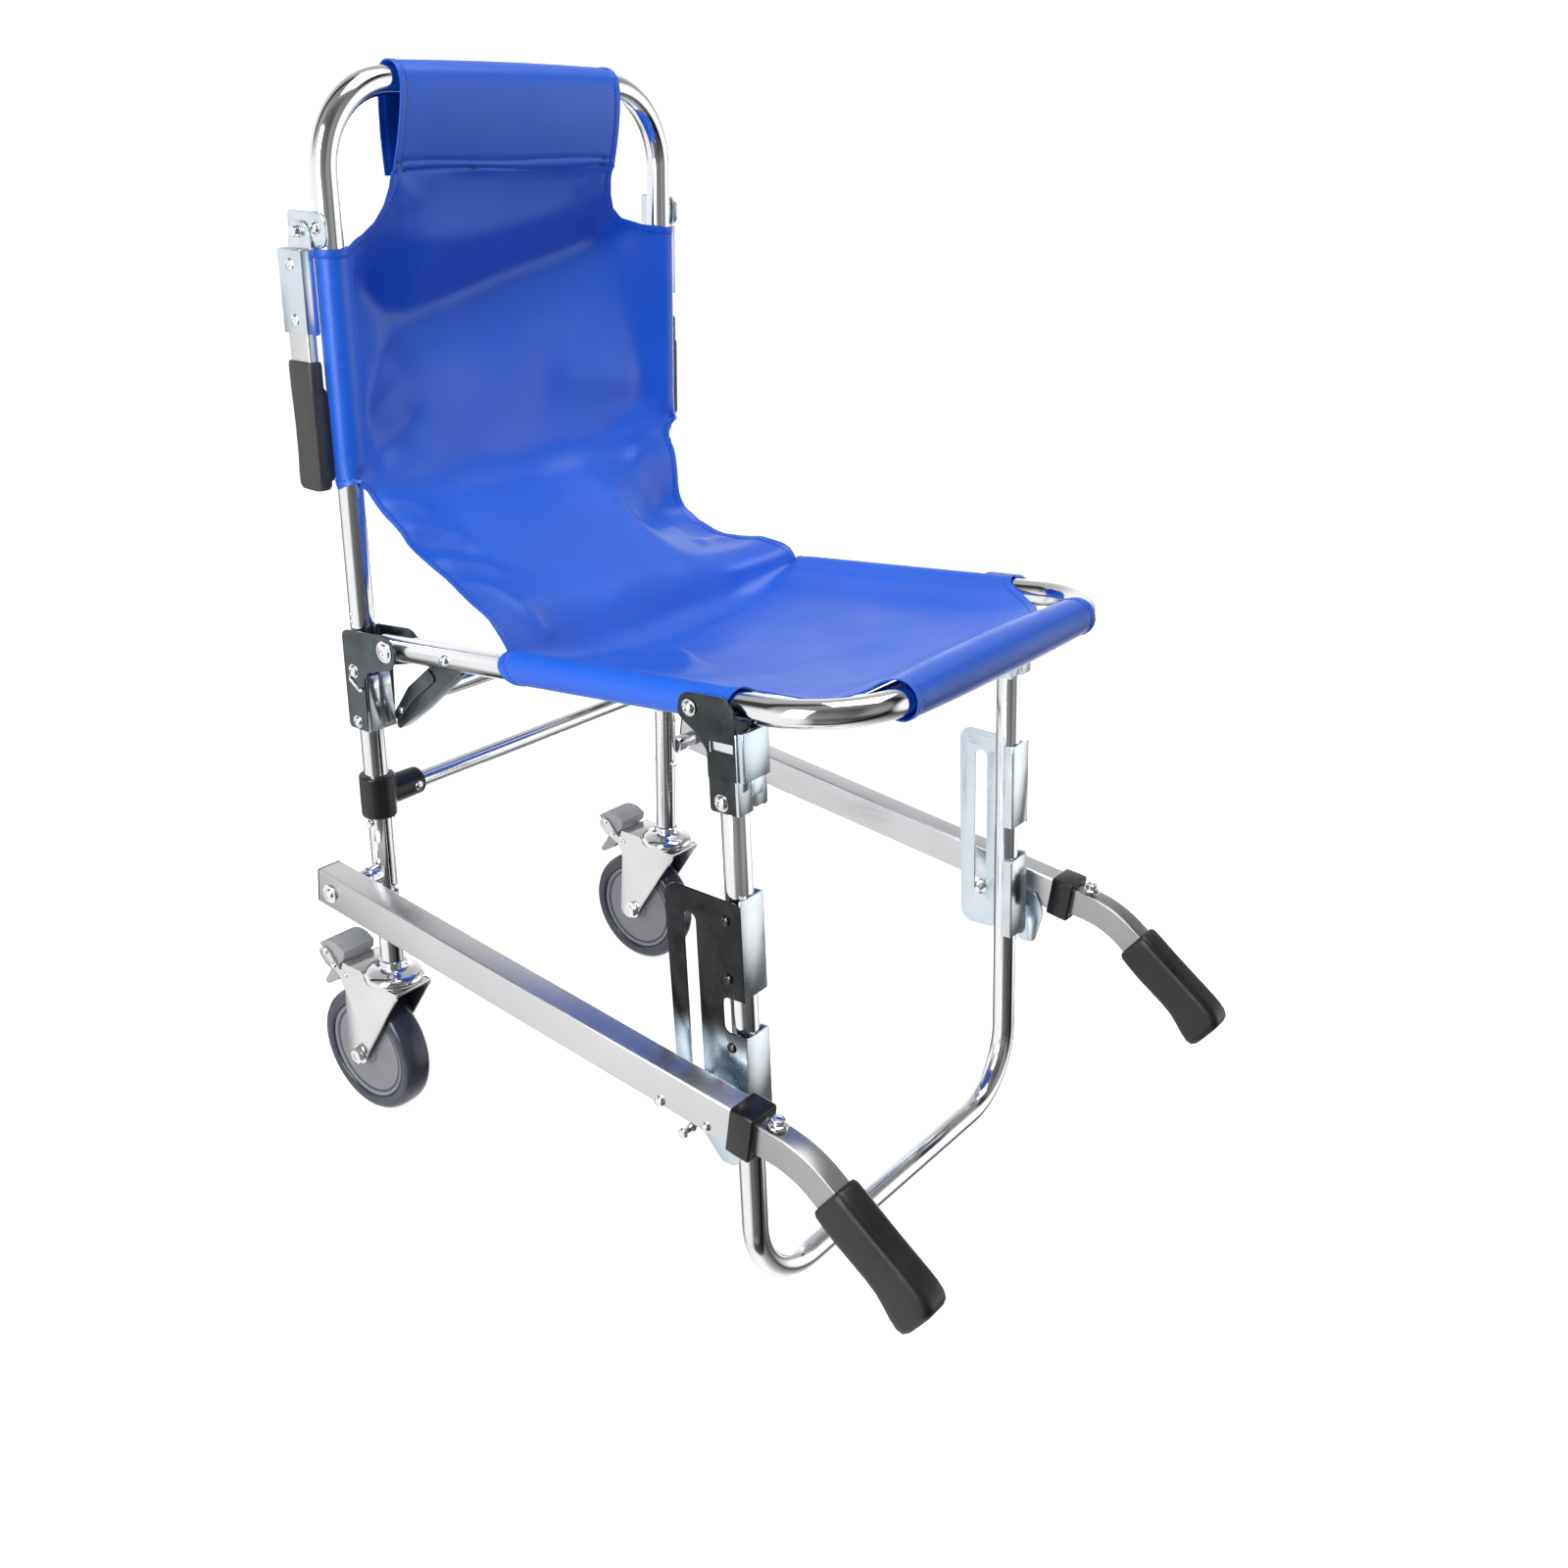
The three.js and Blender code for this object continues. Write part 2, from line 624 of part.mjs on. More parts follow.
pair(leg, 'slot_plate', join(
  plate(slotOutline, PX, PX + 2, [slotHole]),
  block(LEG_X - 12, PX + 2, PLATE_F - 2, PLATE_F - 0.3, -224, -140),
  block(LEG_X - 12, PX + 2, PLATE_F - 2, PLATE_F - 0.3, -334, -254),
  barX(PX + 1, PX + 4, LEG_AXIS + 1, -160, 4, 10),
  barX(PX + 1, PX + 4, LEG_AXIS + 1, -208, 4, 10),
  barX(PX + 1, PX + 4, LEG_AXIS + 1, -266, 4, 10),
), zinc);

// the pin that runs in each slot and carries the front of the rail
pair(leg, 'slot_pin', join(
  barX(PX - 5, RAIL_IN - GAP, SLOT_Y, SLOT_REST, PIN_R, 14),
  barX(PX + 2 + GAP, PX + 5.4, SLOT_Y, SLOT_REST, 8, 16),
), chrome);

// ----------------------------------------------------------------- side rails
// origin at the rail's pivot, -Y along the rail
const rail = frameAt(chair, RAIL_PIVOT.y, RAIL_PIVOT.z, RAIL_SLOPE);
const railSection = rounded([
  [-RAIL_W / 2, -RAIL_H / 2, 3],
  [RAIL_W / 2, -RAIL_H / 2, 3],
  [RAIL_W / 2, RAIL_H / 2, 3],
  [-RAIL_W / 2, RAIL_H / 2, 3],
], 2);
const boreW = RAIL_W / 2 - RAIL_WALL;
const boreH = RAIL_H / 2 - RAIL_WALL;
const railBore = [[-boreW, -boreH], [boreW, -boreH], [boreW, boreH], [-boreW, boreH]];
function profileY(outline, y0, y1, holes = []) {
  const shape = new THREE.Shape(outline.map(([x, z]) => new THREE.Vector2(x, z)));
  for (const hole of holes) {
    shape.holes.push(new THREE.Path(hole.map(([x, z]) => new THREE.Vector2(x, z))));
  }
  const g = new THREE.ExtrudeGeometry(shape, { depth: y1 - y0, bevelEnabled: false });
  return g.rotateX(Math.PI / 2).translate(RAIL_X, y1, RAIL_RISE);
}
const LATCH_PIVOT = { y: -431, z: -9.5 };
pair(rail, 'side_rail', cut(
  join(
    profileY(railSection, -RAIL_FRONT, RAIL_BACK, [railBore]),
    barX(RAIL_OUT - 1, RAIL_OUT + 3.2, -385.5, -11, 4, 14),
    barX(RAIL_OUT - 1, RAIL_OUT + 3.2, LATCH_PIVOT.y, LATCH_PIVOT.z, 4, 14),
  ),
  barX(RAIL_IN - 5, RAIL_OUT + 5, 0, 0, 4.3, 16),
), satin);

pair(rail, 'rail_end_cap', profileY(railSection, RAIL_BACK + GAP, RAIL_BACK + 2), black);

const collarOut = rounded([
  [-15, -19.5, 3],
  [15, -19.5, 3],
  [15, 19.5, 3],
  [-15, 19.5, 3],
], 2);
const armW = boreW - 0.6;
const armH = 13;
const sleeve = [[-12.3, -16.6], [12.3, -16.6], [12.3, 16.6], [-12.3, 16.6]];
const mouth = [
  [-armW - 0.3, -armH - 0.3],
  [armW + 0.3, -armH - 0.3],
  [armW + 0.3, armH + 0.3],
  [-armW - 0.3, armH + 0.3],
];
pair(rail, 'rail_collar', join(
  profileY(collarOut, -RAIL_FRONT - 0.3, -RAIL_FRONT + 18, [sleeve]),
  profileY(collarOut, -RAIL_FRONT - 4, -RAIL_FRONT - 0.3, [mouth]),
), black);

// finger tab under each rail that frees the leg for folding
pair(rail, 'rail_latch', join(
  plate(rounded([
    [-404, -20, 5],
    [-404, -6, 5],
    [-438, -2, 5],
    [-446, -18, 6],
    [-442, -48, 9],
    [-430, -50, 9],
    [-418, -34, 5],
  ], 2), RAIL_IN - 3.4, RAIL_IN - 1.4),
  barX(RAIL_IN - 4.4, RAIL_OUT + 1.5, -411, -26.5, 2.6, 12),
  barX(RAIL_OUT - 1, RAIL_OUT + 3, -411, -26.5, 4.5, 12),
), zinc);

// ------------------------------------------------- telescoping carry handles
const CARRY_BEND = 90;
const GRIP_TURN = 0.515;      // grips fall below the line of the rails (radians)
const ARM_CORNER = { y: -RAIL_FRONT - 42, z: RAIL_RISE };
const GRIP_L = 106;
function alongGrip(s) {
  return [
    RAIL_X,
    ARM_CORNER.y - s * Math.cos(GRIP_TURN),
    ARM_CORNER.z - s * Math.sin(GRIP_TURN),
  ];
}
const GRIP_FROM = 34;
const armPath = [
  [RAIL_X, -100, RAIL_RISE],
  [RAIL_X, ARM_CORNER.y, ARM_CORNER.z],
  alongGrip(GRIP_FROM + GRIP_L - 18),
];
function sweptBar(corners, w, h, bend, steps) {
  const shape = new THREE.Shape([
    new THREE.Vector2(-h, -w),
    new THREE.Vector2(h, -w),
    new THREE.Vector2(h, w),
    new THREE.Vector2(-h, w),
  ]);
  const path = new BentPath(corners.map((c) => new THREE.Vector3(...c)), bend, steps);
  return new THREE.ExtrudeGeometry(shape, {
    steps: path.points.length - 1,
    extrudePath: path,
    bevelEnabled: false,
  });
}
const BUTTON_Y = -RAIL_FRONT - 16;
pair(rail, 'carry_arm', cut(
  sweptBar(armPath, armW, armH, CARRY_BEND, 6),
  barZ(RAIL_X, BUTTON_Y, RAIL_RISE + 1, RAIL_RISE + 20, 4.3, 14),
), satin);

pair(rail, 'release_button', join(
  barZ(RAIL_X, BUTTON_Y, RAIL_RISE + 4, RAIL_RISE + 18, 4, 14),
  barZ(RAIL_X, BUTTON_Y, RAIL_RISE + 15, RAIL_RISE + 22, 8, 14, 6),
), chrome);

// grip in its own frame: origin where it meets the arm, -Y along the grip
const [, gripY, gripZ] = alongGrip(GRIP_FROM);
const gripFrame = frameAt(rail, gripY, gripZ, GRIP_TURN);
const gripSide = rounded([
  [0, -18, 2],
  [0, 18, 2],
  [-GRIP_L + 26, 19, 20],
  [-GRIP_L, 17, 12],
  [-GRIP_L, -27, 12],
  [-GRIP_L + 16, -27, 8],
  [-GRIP_L + 34, -20, 14],
  [-22, -20, 10],
], 3);
pair(gripFrame, 'carry_grip', cut(
  plate(gripSide, RAIL_X - 14.5, RAIL_X + 14.5),
  block(RAIL_X - armW - 0.3, RAIL_X + armW + 0.3, -GRIP_L + 17, 5, -armH - 0.3, armH + 0.3),
), black);

export default part;
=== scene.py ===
import json
import math

import bmesh
import bpy
import numpy as np
from mathutils import Matrix, Vector
from mathutils.geometry import delaunay_2d_cdt


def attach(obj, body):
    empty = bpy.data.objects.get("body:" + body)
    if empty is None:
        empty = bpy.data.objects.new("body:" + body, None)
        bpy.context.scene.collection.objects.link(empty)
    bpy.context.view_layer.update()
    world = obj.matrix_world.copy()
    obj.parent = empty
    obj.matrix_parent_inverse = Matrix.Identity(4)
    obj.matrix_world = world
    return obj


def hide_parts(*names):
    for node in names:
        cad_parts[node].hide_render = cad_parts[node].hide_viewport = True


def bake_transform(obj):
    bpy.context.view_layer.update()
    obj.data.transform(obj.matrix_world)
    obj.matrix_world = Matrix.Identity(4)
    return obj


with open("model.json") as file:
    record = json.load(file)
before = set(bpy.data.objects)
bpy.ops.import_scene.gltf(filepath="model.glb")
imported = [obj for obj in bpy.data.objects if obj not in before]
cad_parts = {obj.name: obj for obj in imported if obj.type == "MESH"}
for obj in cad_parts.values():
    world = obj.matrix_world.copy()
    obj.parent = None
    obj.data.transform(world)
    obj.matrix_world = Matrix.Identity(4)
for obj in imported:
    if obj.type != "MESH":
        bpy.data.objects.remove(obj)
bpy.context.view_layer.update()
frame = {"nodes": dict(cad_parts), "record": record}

MM = 0.001

# ----------------------------------------------- shared dimensions, mm and radians
Y0 = 267.0                       # plane of the back posts in the record's frame
TUBE_R = 11.0
BEND_R = 68.0
POST_X = 193.0
TOP_Z = 918.0
POST_BOTTOM = 171.0
SEAT_TILT = 0.0908
LEG_LEAN = 0.0639
RAIL_SLOPE = 0.1141
SEAT_PIVOT = (-43.0, 480.0)      # (y, z), from the plane of the posts and the floor
RAIL_PIVOT = (-3.0, 262.0)
SEAT_REACH = 463.0
LEG_REACH = 336.4
LEG_X = 197.0
LEG_AXIS = -26.0
RAIL_X = 244.5
RAIL_W, RAIL_H = 24.0, 32.6
RAIL_RISE = 1.5
RAIL_FRONT, RAIL_BACK = 470.0, 15.0
WHEEL_R, TRAIL = 62.5, 34.5
HINGE_Y, HINGE_Z = 17.0, 809.0
GRIP_TURN = 0.515


def local(y, z, turn=0.0):
    """Matrix from a local frame in mm to the record's frame in metres."""
    return (Matrix.Translation((0, (Y0 + y) * MM, z * MM))
            @ Matrix.Rotation(turn, 4, "X") @ Matrix.Scale(MM, 4))


LEG_Y = SEAT_PIVOT[0] - LEG_REACH * math.cos(SEAT_TILT)
LEG_Z = SEAT_PIVOT[1] + LEG_REACH * math.sin(SEAT_TILT)
CHAIR = local(0, 0)
SEAT = local(*SEAT_PIVOT, -SEAT_TILT)
LEG = local(LEG_Y, LEG_Z, -LEG_LEAN)
RAIL = local(*RAIL_PIVOT, RAIL_SLOPE)


# ------------------------------------------------------------------ mesh pieces
class Shape:
    """Vertices in mm and faces, gathered before they become an object."""

    def __init__(self):
        self.v = []
        self.f = []

    def add(self, verts, faces):
        n = len(self.v)
        self.v += [tuple(map(float, p)) for p in verts]
        self.f += [tuple(i + n for i in face) for face in faces]
        return self

    def join(self, other):
        return self.add(other.v, other.f)

    def moved(self, matrix):
        out = Shape()
        out.v = [tuple(matrix @ Vector(p)) for p in self.v]
        out.f = list(self.f)
        return out

    def mirrored(self):
        out = Shape()
        out.v = [(-x, y, z) for x, y, z in self.v]
        out.f = [tuple(reversed(face)) for face in self.f]
        return out


def stack(*shapes):
    out = Shape()
    for s in shapes:
        out.join(s)
    return out


def loft(rings, closed=False):
    """Joins equal rings of points into a skin, capped at both ends unless it is closed."""
    n, count = len(rings[0]), len(rings)
    faces = []
    for i in range(count if closed else count - 1):
        a, b = i * n, ((i + 1) % count) * n
        for k in range(n):
            m = (k + 1) % n
            faces.append((a + k, a + m, b + m, b + k))
    if not closed:
        faces.append(tuple(reversed(range(n))))
        faces.append(tuple(range((count - 1) * n, count * n)))
    return Shape().add([p for ring in rings for p in ring], faces)


def corner(before, p, after, r, steps):
    """Points of the arc of radius r that replaces the corner p of a polyline."""
    u, v = (before - p).normalized(), (after - p).normalized()
    half = u.angle(v) / 2
    centre = p + (u + v).normalized() * (r / math.sin(half))
    s = p + u * (r / math.tan(half)) - centre
    e = p + v * (r / math.tan(half)) - centre
    side = (e - s * (s.dot(e) / s.length_squared)).normalized() * r
    turns = [s.angle(e) * k / steps for k in range(steps + 1)]
    return [centre + s * math.cos(t) + side * math.sin(t) for t in turns]


def bent(corners, bend, steps=16):
    """A polyline whose corners are replaced by arcs."""
    pts = [Vector(p) for p in corners]
    arcs = [corner(*three, bend, steps) for three in zip(pts, pts[1:], pts[2:])]
    return [pts[0]] + [p for arc in arcs for p in arc] + [pts[-1]]


def rounded(points, steps=5):
    """Rounds the corners of an outline of (a, b, radius)."""
    flat = [Vector(p[:2]) for p in points]
    out = []
    for i, p in enumerate(flat):
        r = points[i][2]
        after = flat[(i + 1) % len(flat)]
        out += corner(flat[i - 1], p, after, r, steps) if r else [p]
    return [tuple(p) for p in out]


def rectangle(w, h, r=0, steps=5):
    """A rectangle of half width w and half height h with corners rounded by r."""
    return rounded([(-w, -h, r), (w, -h, r), (w, h, r), (-w, h, r)], steps)


def circle(r, n=40):
    return [(r * math.cos(2 * math.pi * k / n), r * math.sin(2 * math.pi * k / n)) for k in range(n)]


def soft_box(w, h, power, n):
    """A closed outline between ellipse and box: the lower the power, the squarer."""
    return [(math.copysign(w * abs(c) ** power, c), math.copysign(h * abs(s) ** power, s))
            for c, s in circle(1.0, n)]


def sweep(points, section):
    """Carries a section (list of (a, b)) along points; a starts along X."""
    rings = []
    side = Vector((1, 0, 0))
    for i, p in enumerate(points):
        t = Vector((0, 0, 0))
        if i > 0:
            t += (p - points[i - 1]).normalized()
        if i < len(points) - 1:
            t += (points[i + 1] - p).normalized()
        t.normalize()
        side = (side - t * side.dot(t)).normalized()
        up = t.cross(side)
        rings.append([p + side * a + up * b for a, b in section])
    return loft(rings)


def turned(profile, centre, axis="X", n=48, hollow=False):
    """Turns (radius, height) pairs about an axis through centre; hollow closes them to a ring."""
    order = {"X": (2, 0, 1), "Y": (1, 2, 0), "Z": (0, 1, 2)}[axis]
    rings = []
    for r, h in profile:
        rings.append([[centre[i] + (c, s, h)[order[i]] for i in range(3)] for c, s in circle(r, n)])
    return loft(rings, closed=hollow)


def both_ways(half, middle=()):
    """A turning profile completed by its mirror image."""
    return half + list(middle) + [(r, -h) for r, h in reversed(half)]


def prism(outline, lo, hi, place, way=1):
    """An outline of (a, b) drawn out from lo to hi; place turns (a, b, height) into a point."""
    area = sum(a[0] * b[1] - b[0] * a[1] for a, b in zip(outline, outline[1:] + outline[:1]))
    if area * way < 0:
        outline = outline[::-1]
    return loft([[place(a, b, h) for a, b in outline] for h in (lo, hi)])


def plate(outline, x0, x1):
    """An outline in (y, z) with thickness along X."""
    return prism(outline, x0, x1, lambda a, b, h: (h, a, b))


def along_rail(outline, y0, y1, rise=RAIL_RISE):
    """An outline about the centre line of the left rail, drawn out along it."""
    return prism(outline, y0, y1, lambda a, b, h: (RAIL_X + a, h, rise + b), -1)


def block(x0, x1, y0, y1, z0, z1):
    return prism([(x0, y0), (x1, y0), (x1, y1), (x0, y1)], z0, z1, lambda a, b, h: (a, b, h))


def linked(name, data):
    ob = bpy.data.objects.new(name, data)
    bpy.context.scene.collection.objects.link(ob)
    return ob


def plain(name, shape):
    """An object made from a shape as it is."""
    me = bpy.data.meshes.new(name)
    me.from_pydata(shape.v, [], shape.f)
    return linked(name, me)


def solid(name, shape):
    """An object made from a shape, with its faces turned outwards."""
    ob = plain(name, shape)
    ob.data.validate()
    bm = bmesh.new()
    bm.from_mesh(ob.data)
    bmesh.ops.recalc_face_normals(bm, faces=bm.faces)
    bm.to_mesh(ob.data)
    bm.free()
    return ob


def settle(ob):
    """Applies every modifier of ob to its mesh."""
    bpy.context.view_layer.update()
    dg = bpy.context.evaluated_depsgraph_get()
    me = bpy.data.meshes.new_from_object(ob.evaluated_get(dg))
    old = ob.data
    ob.modifiers.clear()
    ob.data = me
    bpy.data.meshes.remove(old)


def taken(ob, *tools):
    """The settled shape of a helper object, which is removed together with its tools."""
    settle(ob)
    out = Shape()
    out.v = [tuple(v.co) for v in ob.data.vertices]
    out.f = [tuple(p.vertices) for p in ob.data.polygons]
    for o in (ob, *tools):
        me = o.data
        bpy.data.objects.remove(o)
        bpy.data.meshes.remove(me)
    return out


def combine(base, *others, how="DIFFERENCE"):
    """Boolean of a shape with others."""
    ob = solid("base", base)
    tools = []
    for other in others:
        tools.append(solid("tool", other))
        m = ob.modifiers.new("boolean", "BOOLEAN")
        m.operation = how
        m.solver = "EXACT"
        m.object = tools[-1]
    return taken(ob, *tools)


def moulded(voxel, rounds, *shapes):
    """Melts closed shapes together into one softly rounded moulded body."""
    ob = solid("melt", stack(*shapes))
    m = ob.modifiers.new("remesh", "REMESH")
    m.mode = "VOXEL"
    m.voxel_size = voxel
    m = ob.modifiers.new("smooth", "SMOOTH")
    m.iterations = rounds
    m.factor = 0.5
    return taken(ob)


def shaded(ob, material, angle):
    """Smooth shading up to an angle, and one material."""
    me = ob.data
    me.polygons.foreach_set("use_smooth", [True] * len(me.polygons))
    me.set_sharp_from_angle(angle=math.radians(angle))
    me.materials.clear()
    me.materials.append(MATS[material])


def piece(name, shape, frame_matrix, material, body, replaces=None, bevel=0.0, angle=35,
          segments=2):
    """Makes a finished object from a shape and lets it ride on a body."""
    ob = solid(name, shape.moved(frame_matrix))
    if bevel:
        m = ob.modifiers.new("edge", "BEVEL")
        m.width = bevel * MM
        m.segments = segments
        m.limit_method = "ANGLE"
        m.angle_limit = math.radians(28)
        m.harden_normals = False
        settle(ob)
    shaded(ob, material, angle)
    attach(ob, body)
    if replaces:
        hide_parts(replaces)
    return ob


def pair(name, shape, frame_matrix, material, body, replaces="", **kw):
    """The left piece as given and its mirror image on the right; {} in names is l or r."""
    return [piece(name.format(side), s, frame_matrix, material, body.format(side),
                  replaces.format(side), **kw)
            for side, s in (("l", shape), ("r", shape.mirrored()))]


# -------------------------------------------------------------------- materials
MATS = {}
FINISHES = {                     # slot of the record: the looks made for it, plain one first
    "polished_tube": ("polished",),
    "satin_aluminium": ("satin", "satin_dark"),
    "zinc_plate": ("zinc", "zinc_light", "zinc_warm", "zinc_painted_dark_reflection", "zinc_painted_black_reflection", "zinc_painted_reflection",
                   "painted_shade_black"),
    "bright_hardware": ("bright", "screw_dark"),
    "black_plastic": ("black", "black_gloss", "black_soft"),
    "grey_plastic": ("grey_plastic",),
    "hub_plastic": ("hub",),
    "wheel_tread": ("tyre",),
    "blue_vinyl": ("vinyl", "thread"),
}


def fill(nt, n, inputs):
    """Sets the inputs of a node, each to a value or to a socket."""
    for key, value in inputs.items():
        if isinstance(value, bpy.types.NodeSocket):
            nt.links.new(value, n.inputs[key])
        else:
            n.inputs[key].default_value = value


def node(nt, kind, inputs, **settings):
    n = nt.nodes.new(kind)
    for key, value in settings.items():
        setattr(n, key, value)
    fill(nt, n, inputs)
    return n


def new_material(name):
    """A new material: its node tree, its shader and the object coordinates."""
    mat = bpy.data.materials.new(name)
    mat.use_nodes = True
    nt = mat.node_tree
    bsdf = next(n for n in nt.nodes if n.type == "BSDF_PRINCIPLED")
    MATS[name] = mat
    return nt, bsdf, nt.nodes.new("ShaderNodeTexCoord").outputs["Object"]


def noise(nt, coord, scale, stretch=(1, 1, 1), detail=4.0, rough=0.55):
    mp = node(nt, "ShaderNodeMapping", {"Scale": stretch, "Vector": coord})
    nz = node(nt, "ShaderNodeTexNoise", {"Scale": scale, "Detail": detail, "Roughness": rough,
                                         "Vector": mp.outputs["Vector"]})
    return nz.outputs["Fac"]


def spread(nt, value, low, high, a=0.3, b=0.7):
    r = node(nt, "ShaderNodeMapRange", {"From Min": a, "From Max": b, "To Min": low,
                                        "To Max": high, "Value": value})
    return r.outputs["Result"]


def tint(nt, value, dark, light):
    r = node(nt, "ShaderNodeValToRGB", {"Fac": value})
    for k, (at, colour) in enumerate(((0.3, dark), (0.7, light))):
        r.color_ramp.elements[k].position = at
        r.color_ramp.elements[k].color = (*colour, 1)
    return r.outputs["Color"]


def bump(nt, bsdf, *heights):
    """Chains bumps, each given as (socket, distance in mm, strength)."""
    last = {}
    for socket, distance, strength in heights:
        b = node(nt, "ShaderNodeBump", {"Distance": distance * MM, "Strength": strength,
                                        "Height": socket, **last})
        last = {"Normal": b.outputs["Normal"]}
    fill(nt, bsdf, last)


def metal(name, dark, light, rough, grain, stretch, grain_scale, cloud, bump_mm):
    """Clouds of tone under fine streaks that also roughen the surface."""
    nt, bsdf, c = new_material(name)
    clouds = noise(nt, c, cloud, detail=3.0)
    streaks = noise(nt, c, grain_scale, stretch, detail=3.0, rough=0.6)
    both = node(nt, "ShaderNodeMath", {0: spread(nt, clouds, *rough),
                                       1: spread(nt, streaks, -grain, grain, 0.25, 0.75)},
                operation="ADD")
    fill(nt, bsdf, {"Metallic": 1.0, "Base Color": tint(nt, clouds, dark, light),
                    "Roughness": both.outputs[0]})
    fine = noise(nt, c, grain_scale * 2.2, stretch, detail=2.0)
    bump(nt, bsdf, (streaks, bump_mm, 0.35), (fine, bump_mm, 0.2))
    return nt, bsdf, c


def plastic(name, dark, light, cloud, rough, grain, grain_mm, strength, detail=2.0):
    """A moulded plastic or rubber: soft clouds of tone and gloss over a fine grain."""
    nt, bsdf, c = new_material(name)
    clouds = noise(nt, c, cloud)
    fill(nt, bsdf, {"Base Color": tint(nt, clouds, dark, light),
                    "Roughness": spread(nt, clouds, *rough)})
    bump(nt, bsdf, (noise(nt, c, grain, detail=detail), grain_mm, strength))


def make_materials():
    even = (1, 1, 1)
    drawn = (1, 0.015, 1)
    for values in (
        # name, dark, light, roughness, grain, stretch, scale of grain and clouds, bump in mm
        ("polished", (0.80, 0.81, 0.83), (0.90, 0.90, 0.91), (0.07, 0.12), 0.02, (1, 1, 0.06),
         260, 9.0, 0.006),
        ("satin", (0.63, 0.62, 0.64), (0.74, 0.735, 0.745), (0.30, 0.38), 0.08, drawn, 900, 6.0, 0.03),
        ("satin_dark", (0.34, 0.335, 0.345), (0.44, 0.435, 0.44), (0.26, 0.36), 0.06, drawn, 900, 6.0,
         0.03),
        ("zinc", (0.60, 0.66, 0.70), (0.76, 0.80, 0.83), (0.15, 0.25), 0.03, even, 420, 30.0, 0.008),
        ("zinc_light", (0.60, 0.68, 0.75), (0.72, 0.79, 0.85), (0.20, 0.28), 0.02, even, 420, 18.0,
         0.004),
        ("zinc_warm", (0.72, 0.705, 0.71), (0.80, 0.785, 0.79), (0.17, 0.24), 0.03, (1, 1, 0.2),
         420, 14.0, 0.008),
        # painted dark reflection: near-black zinc that stands in for the dark room these plates mirror
        ("zinc_painted_dark_reflection", (0.075, 0.090, 0.098), (0.135, 0.155, 0.165), (0.30, 0.42), 0.05, even, 420,
         46.0, 0.03),
        # painted dark reflection, blacker still, for the near leg plate
        ("zinc_painted_black_reflection", (0.034, 0.038, 0.040), (0.066, 0.072, 0.075), (0.26, 0.38), 0.05, even, 420,
         46.0, 0.03),
        ("screw_dark", (0.06, 0.06, 0.062), (0.12, 0.12, 0.122), (0.10, 0.18), 0.03, even, 420, 60.0,
         0.01),
        ("bright", (0.78, 0.79, 0.81), (0.90, 0.90, 0.92), (0.06, 0.13), 0.03, even, 500, 60.0, 0.004),
    ):
        metal(*values)
    for values in (
        # name, dark, light, scale of clouds, roughness, scale of grain, its depth in mm, strength
        ("black_gloss", (0.006, 0.006, 0.0065), (0.012, 0.012, 0.0125), 30, (0.20, 0.30), 900, 0.02, 0.3),
        ("black", (0.008, 0.008, 0.009), (0.014, 0.014, 0.015), 30, (0.30, 0.42), 1400, 0.05, 0.5),
        ("black_soft", (0.030, 0.030, 0.031), (0.046, 0.046, 0.047), 30, (0.42, 0.56), 1400, 0.05, 0.5),
        ("grey_plastic", (0.330, 0.338, 0.345), (0.400, 0.408, 0.415), 60, (0.36, 0.52), 1200, 0.05, 0.4),
        ("hub", (0.215, 0.220, 0.238), (0.255, 0.260, 0.280), 40, (0.38, 0.5), 1500, 0.04, 0.4),
        ("tyre", (0.040, 0.045, 0.068), (0.052, 0.057, 0.084), 45, (0.18, 0.27), 700, 0.02, 0.2, 3.0),
    ):
        plastic(*values)

    # plate with painted reflection that runs from near black at the top to pale at the foot
    nt, bsdf, c = metal("zinc_painted_reflection", (0.022, 0.023, 0.025), (0.046, 0.048, 0.050), (0.22, 0.32), 0.05,
                        even, 420, 46.0, 0.02)
    place = node(nt, "ShaderNodeSeparateXYZ", {0: c})
    wavy = node(nt, "ShaderNodeMath", {0: noise(nt, c, 26, detail=2.0), 1: 0.022,
                                       2: place.outputs["Z"]}, operation="MULTIPLY_ADD")
    low = node(nt, "ShaderNodeMapRange", {"From Min": 0.238, "From Max": 0.276,
                                          "Value": wavy.outputs[0]}, interpolation_type="SMOOTHSTEP")
    pale = tint(nt, noise(nt, c, 22), (0.40, 0.50, 0.58), (0.58, 0.68, 0.76))
    dark = bsdf.inputs["Base Color"].links[0].from_socket
    blend = node(nt, "ShaderNodeMix", {"Factor": low.outputs["Result"], "A": pale, "B": dark},
                 data_type="RGBA")
    fill(nt, bsdf, {"Base Color": blend.outputs["Result"]})

    # painted shade: near-black matt grey for the shaded room under the castor's top plate
    nt, bsdf, c = new_material("painted_shade_black")
    fill(nt, bsdf, {"Base Color": tint(nt, noise(nt, c, 50), (0.02, 0.02, 0.022), (0.04, 0.04, 0.043)),
                    "Roughness": 0.6})

    nt, bsdf, c = new_material("vinyl")
    pores = node(nt, "ShaderNodeTexVoronoi", {"Scale": 1500, "Vector": c}, feature="F1")
    clouds = noise(nt, c, 7, detail=3.0)
    fill(nt, bsdf, {
        "Base Color": tint(nt, clouds, (0.0040, 0.098, 0.610), (0.0080, 0.122, 0.710)),
        "Roughness": spread(nt, noise(nt, c, 16, detail=5.0), 0.36, 0.47),
        "Specular IOR Level": 0.50,
        "Sheen Weight": 0.05,
        "Sheen Roughness": 0.45,
        "Sheen Tint": (0.55, 0.68, 1.0, 1),
        "Coat Weight": 0.10,
        "Coat Roughness": 0.25,
    })
    bump(nt, bsdf, (noise(nt, c, 55, detail=3.0), 0.5, 0.10),
         (pores.outputs["Distance"], 0.05, 0.35), (noise(nt, c, 900), 0.05, 0.30))

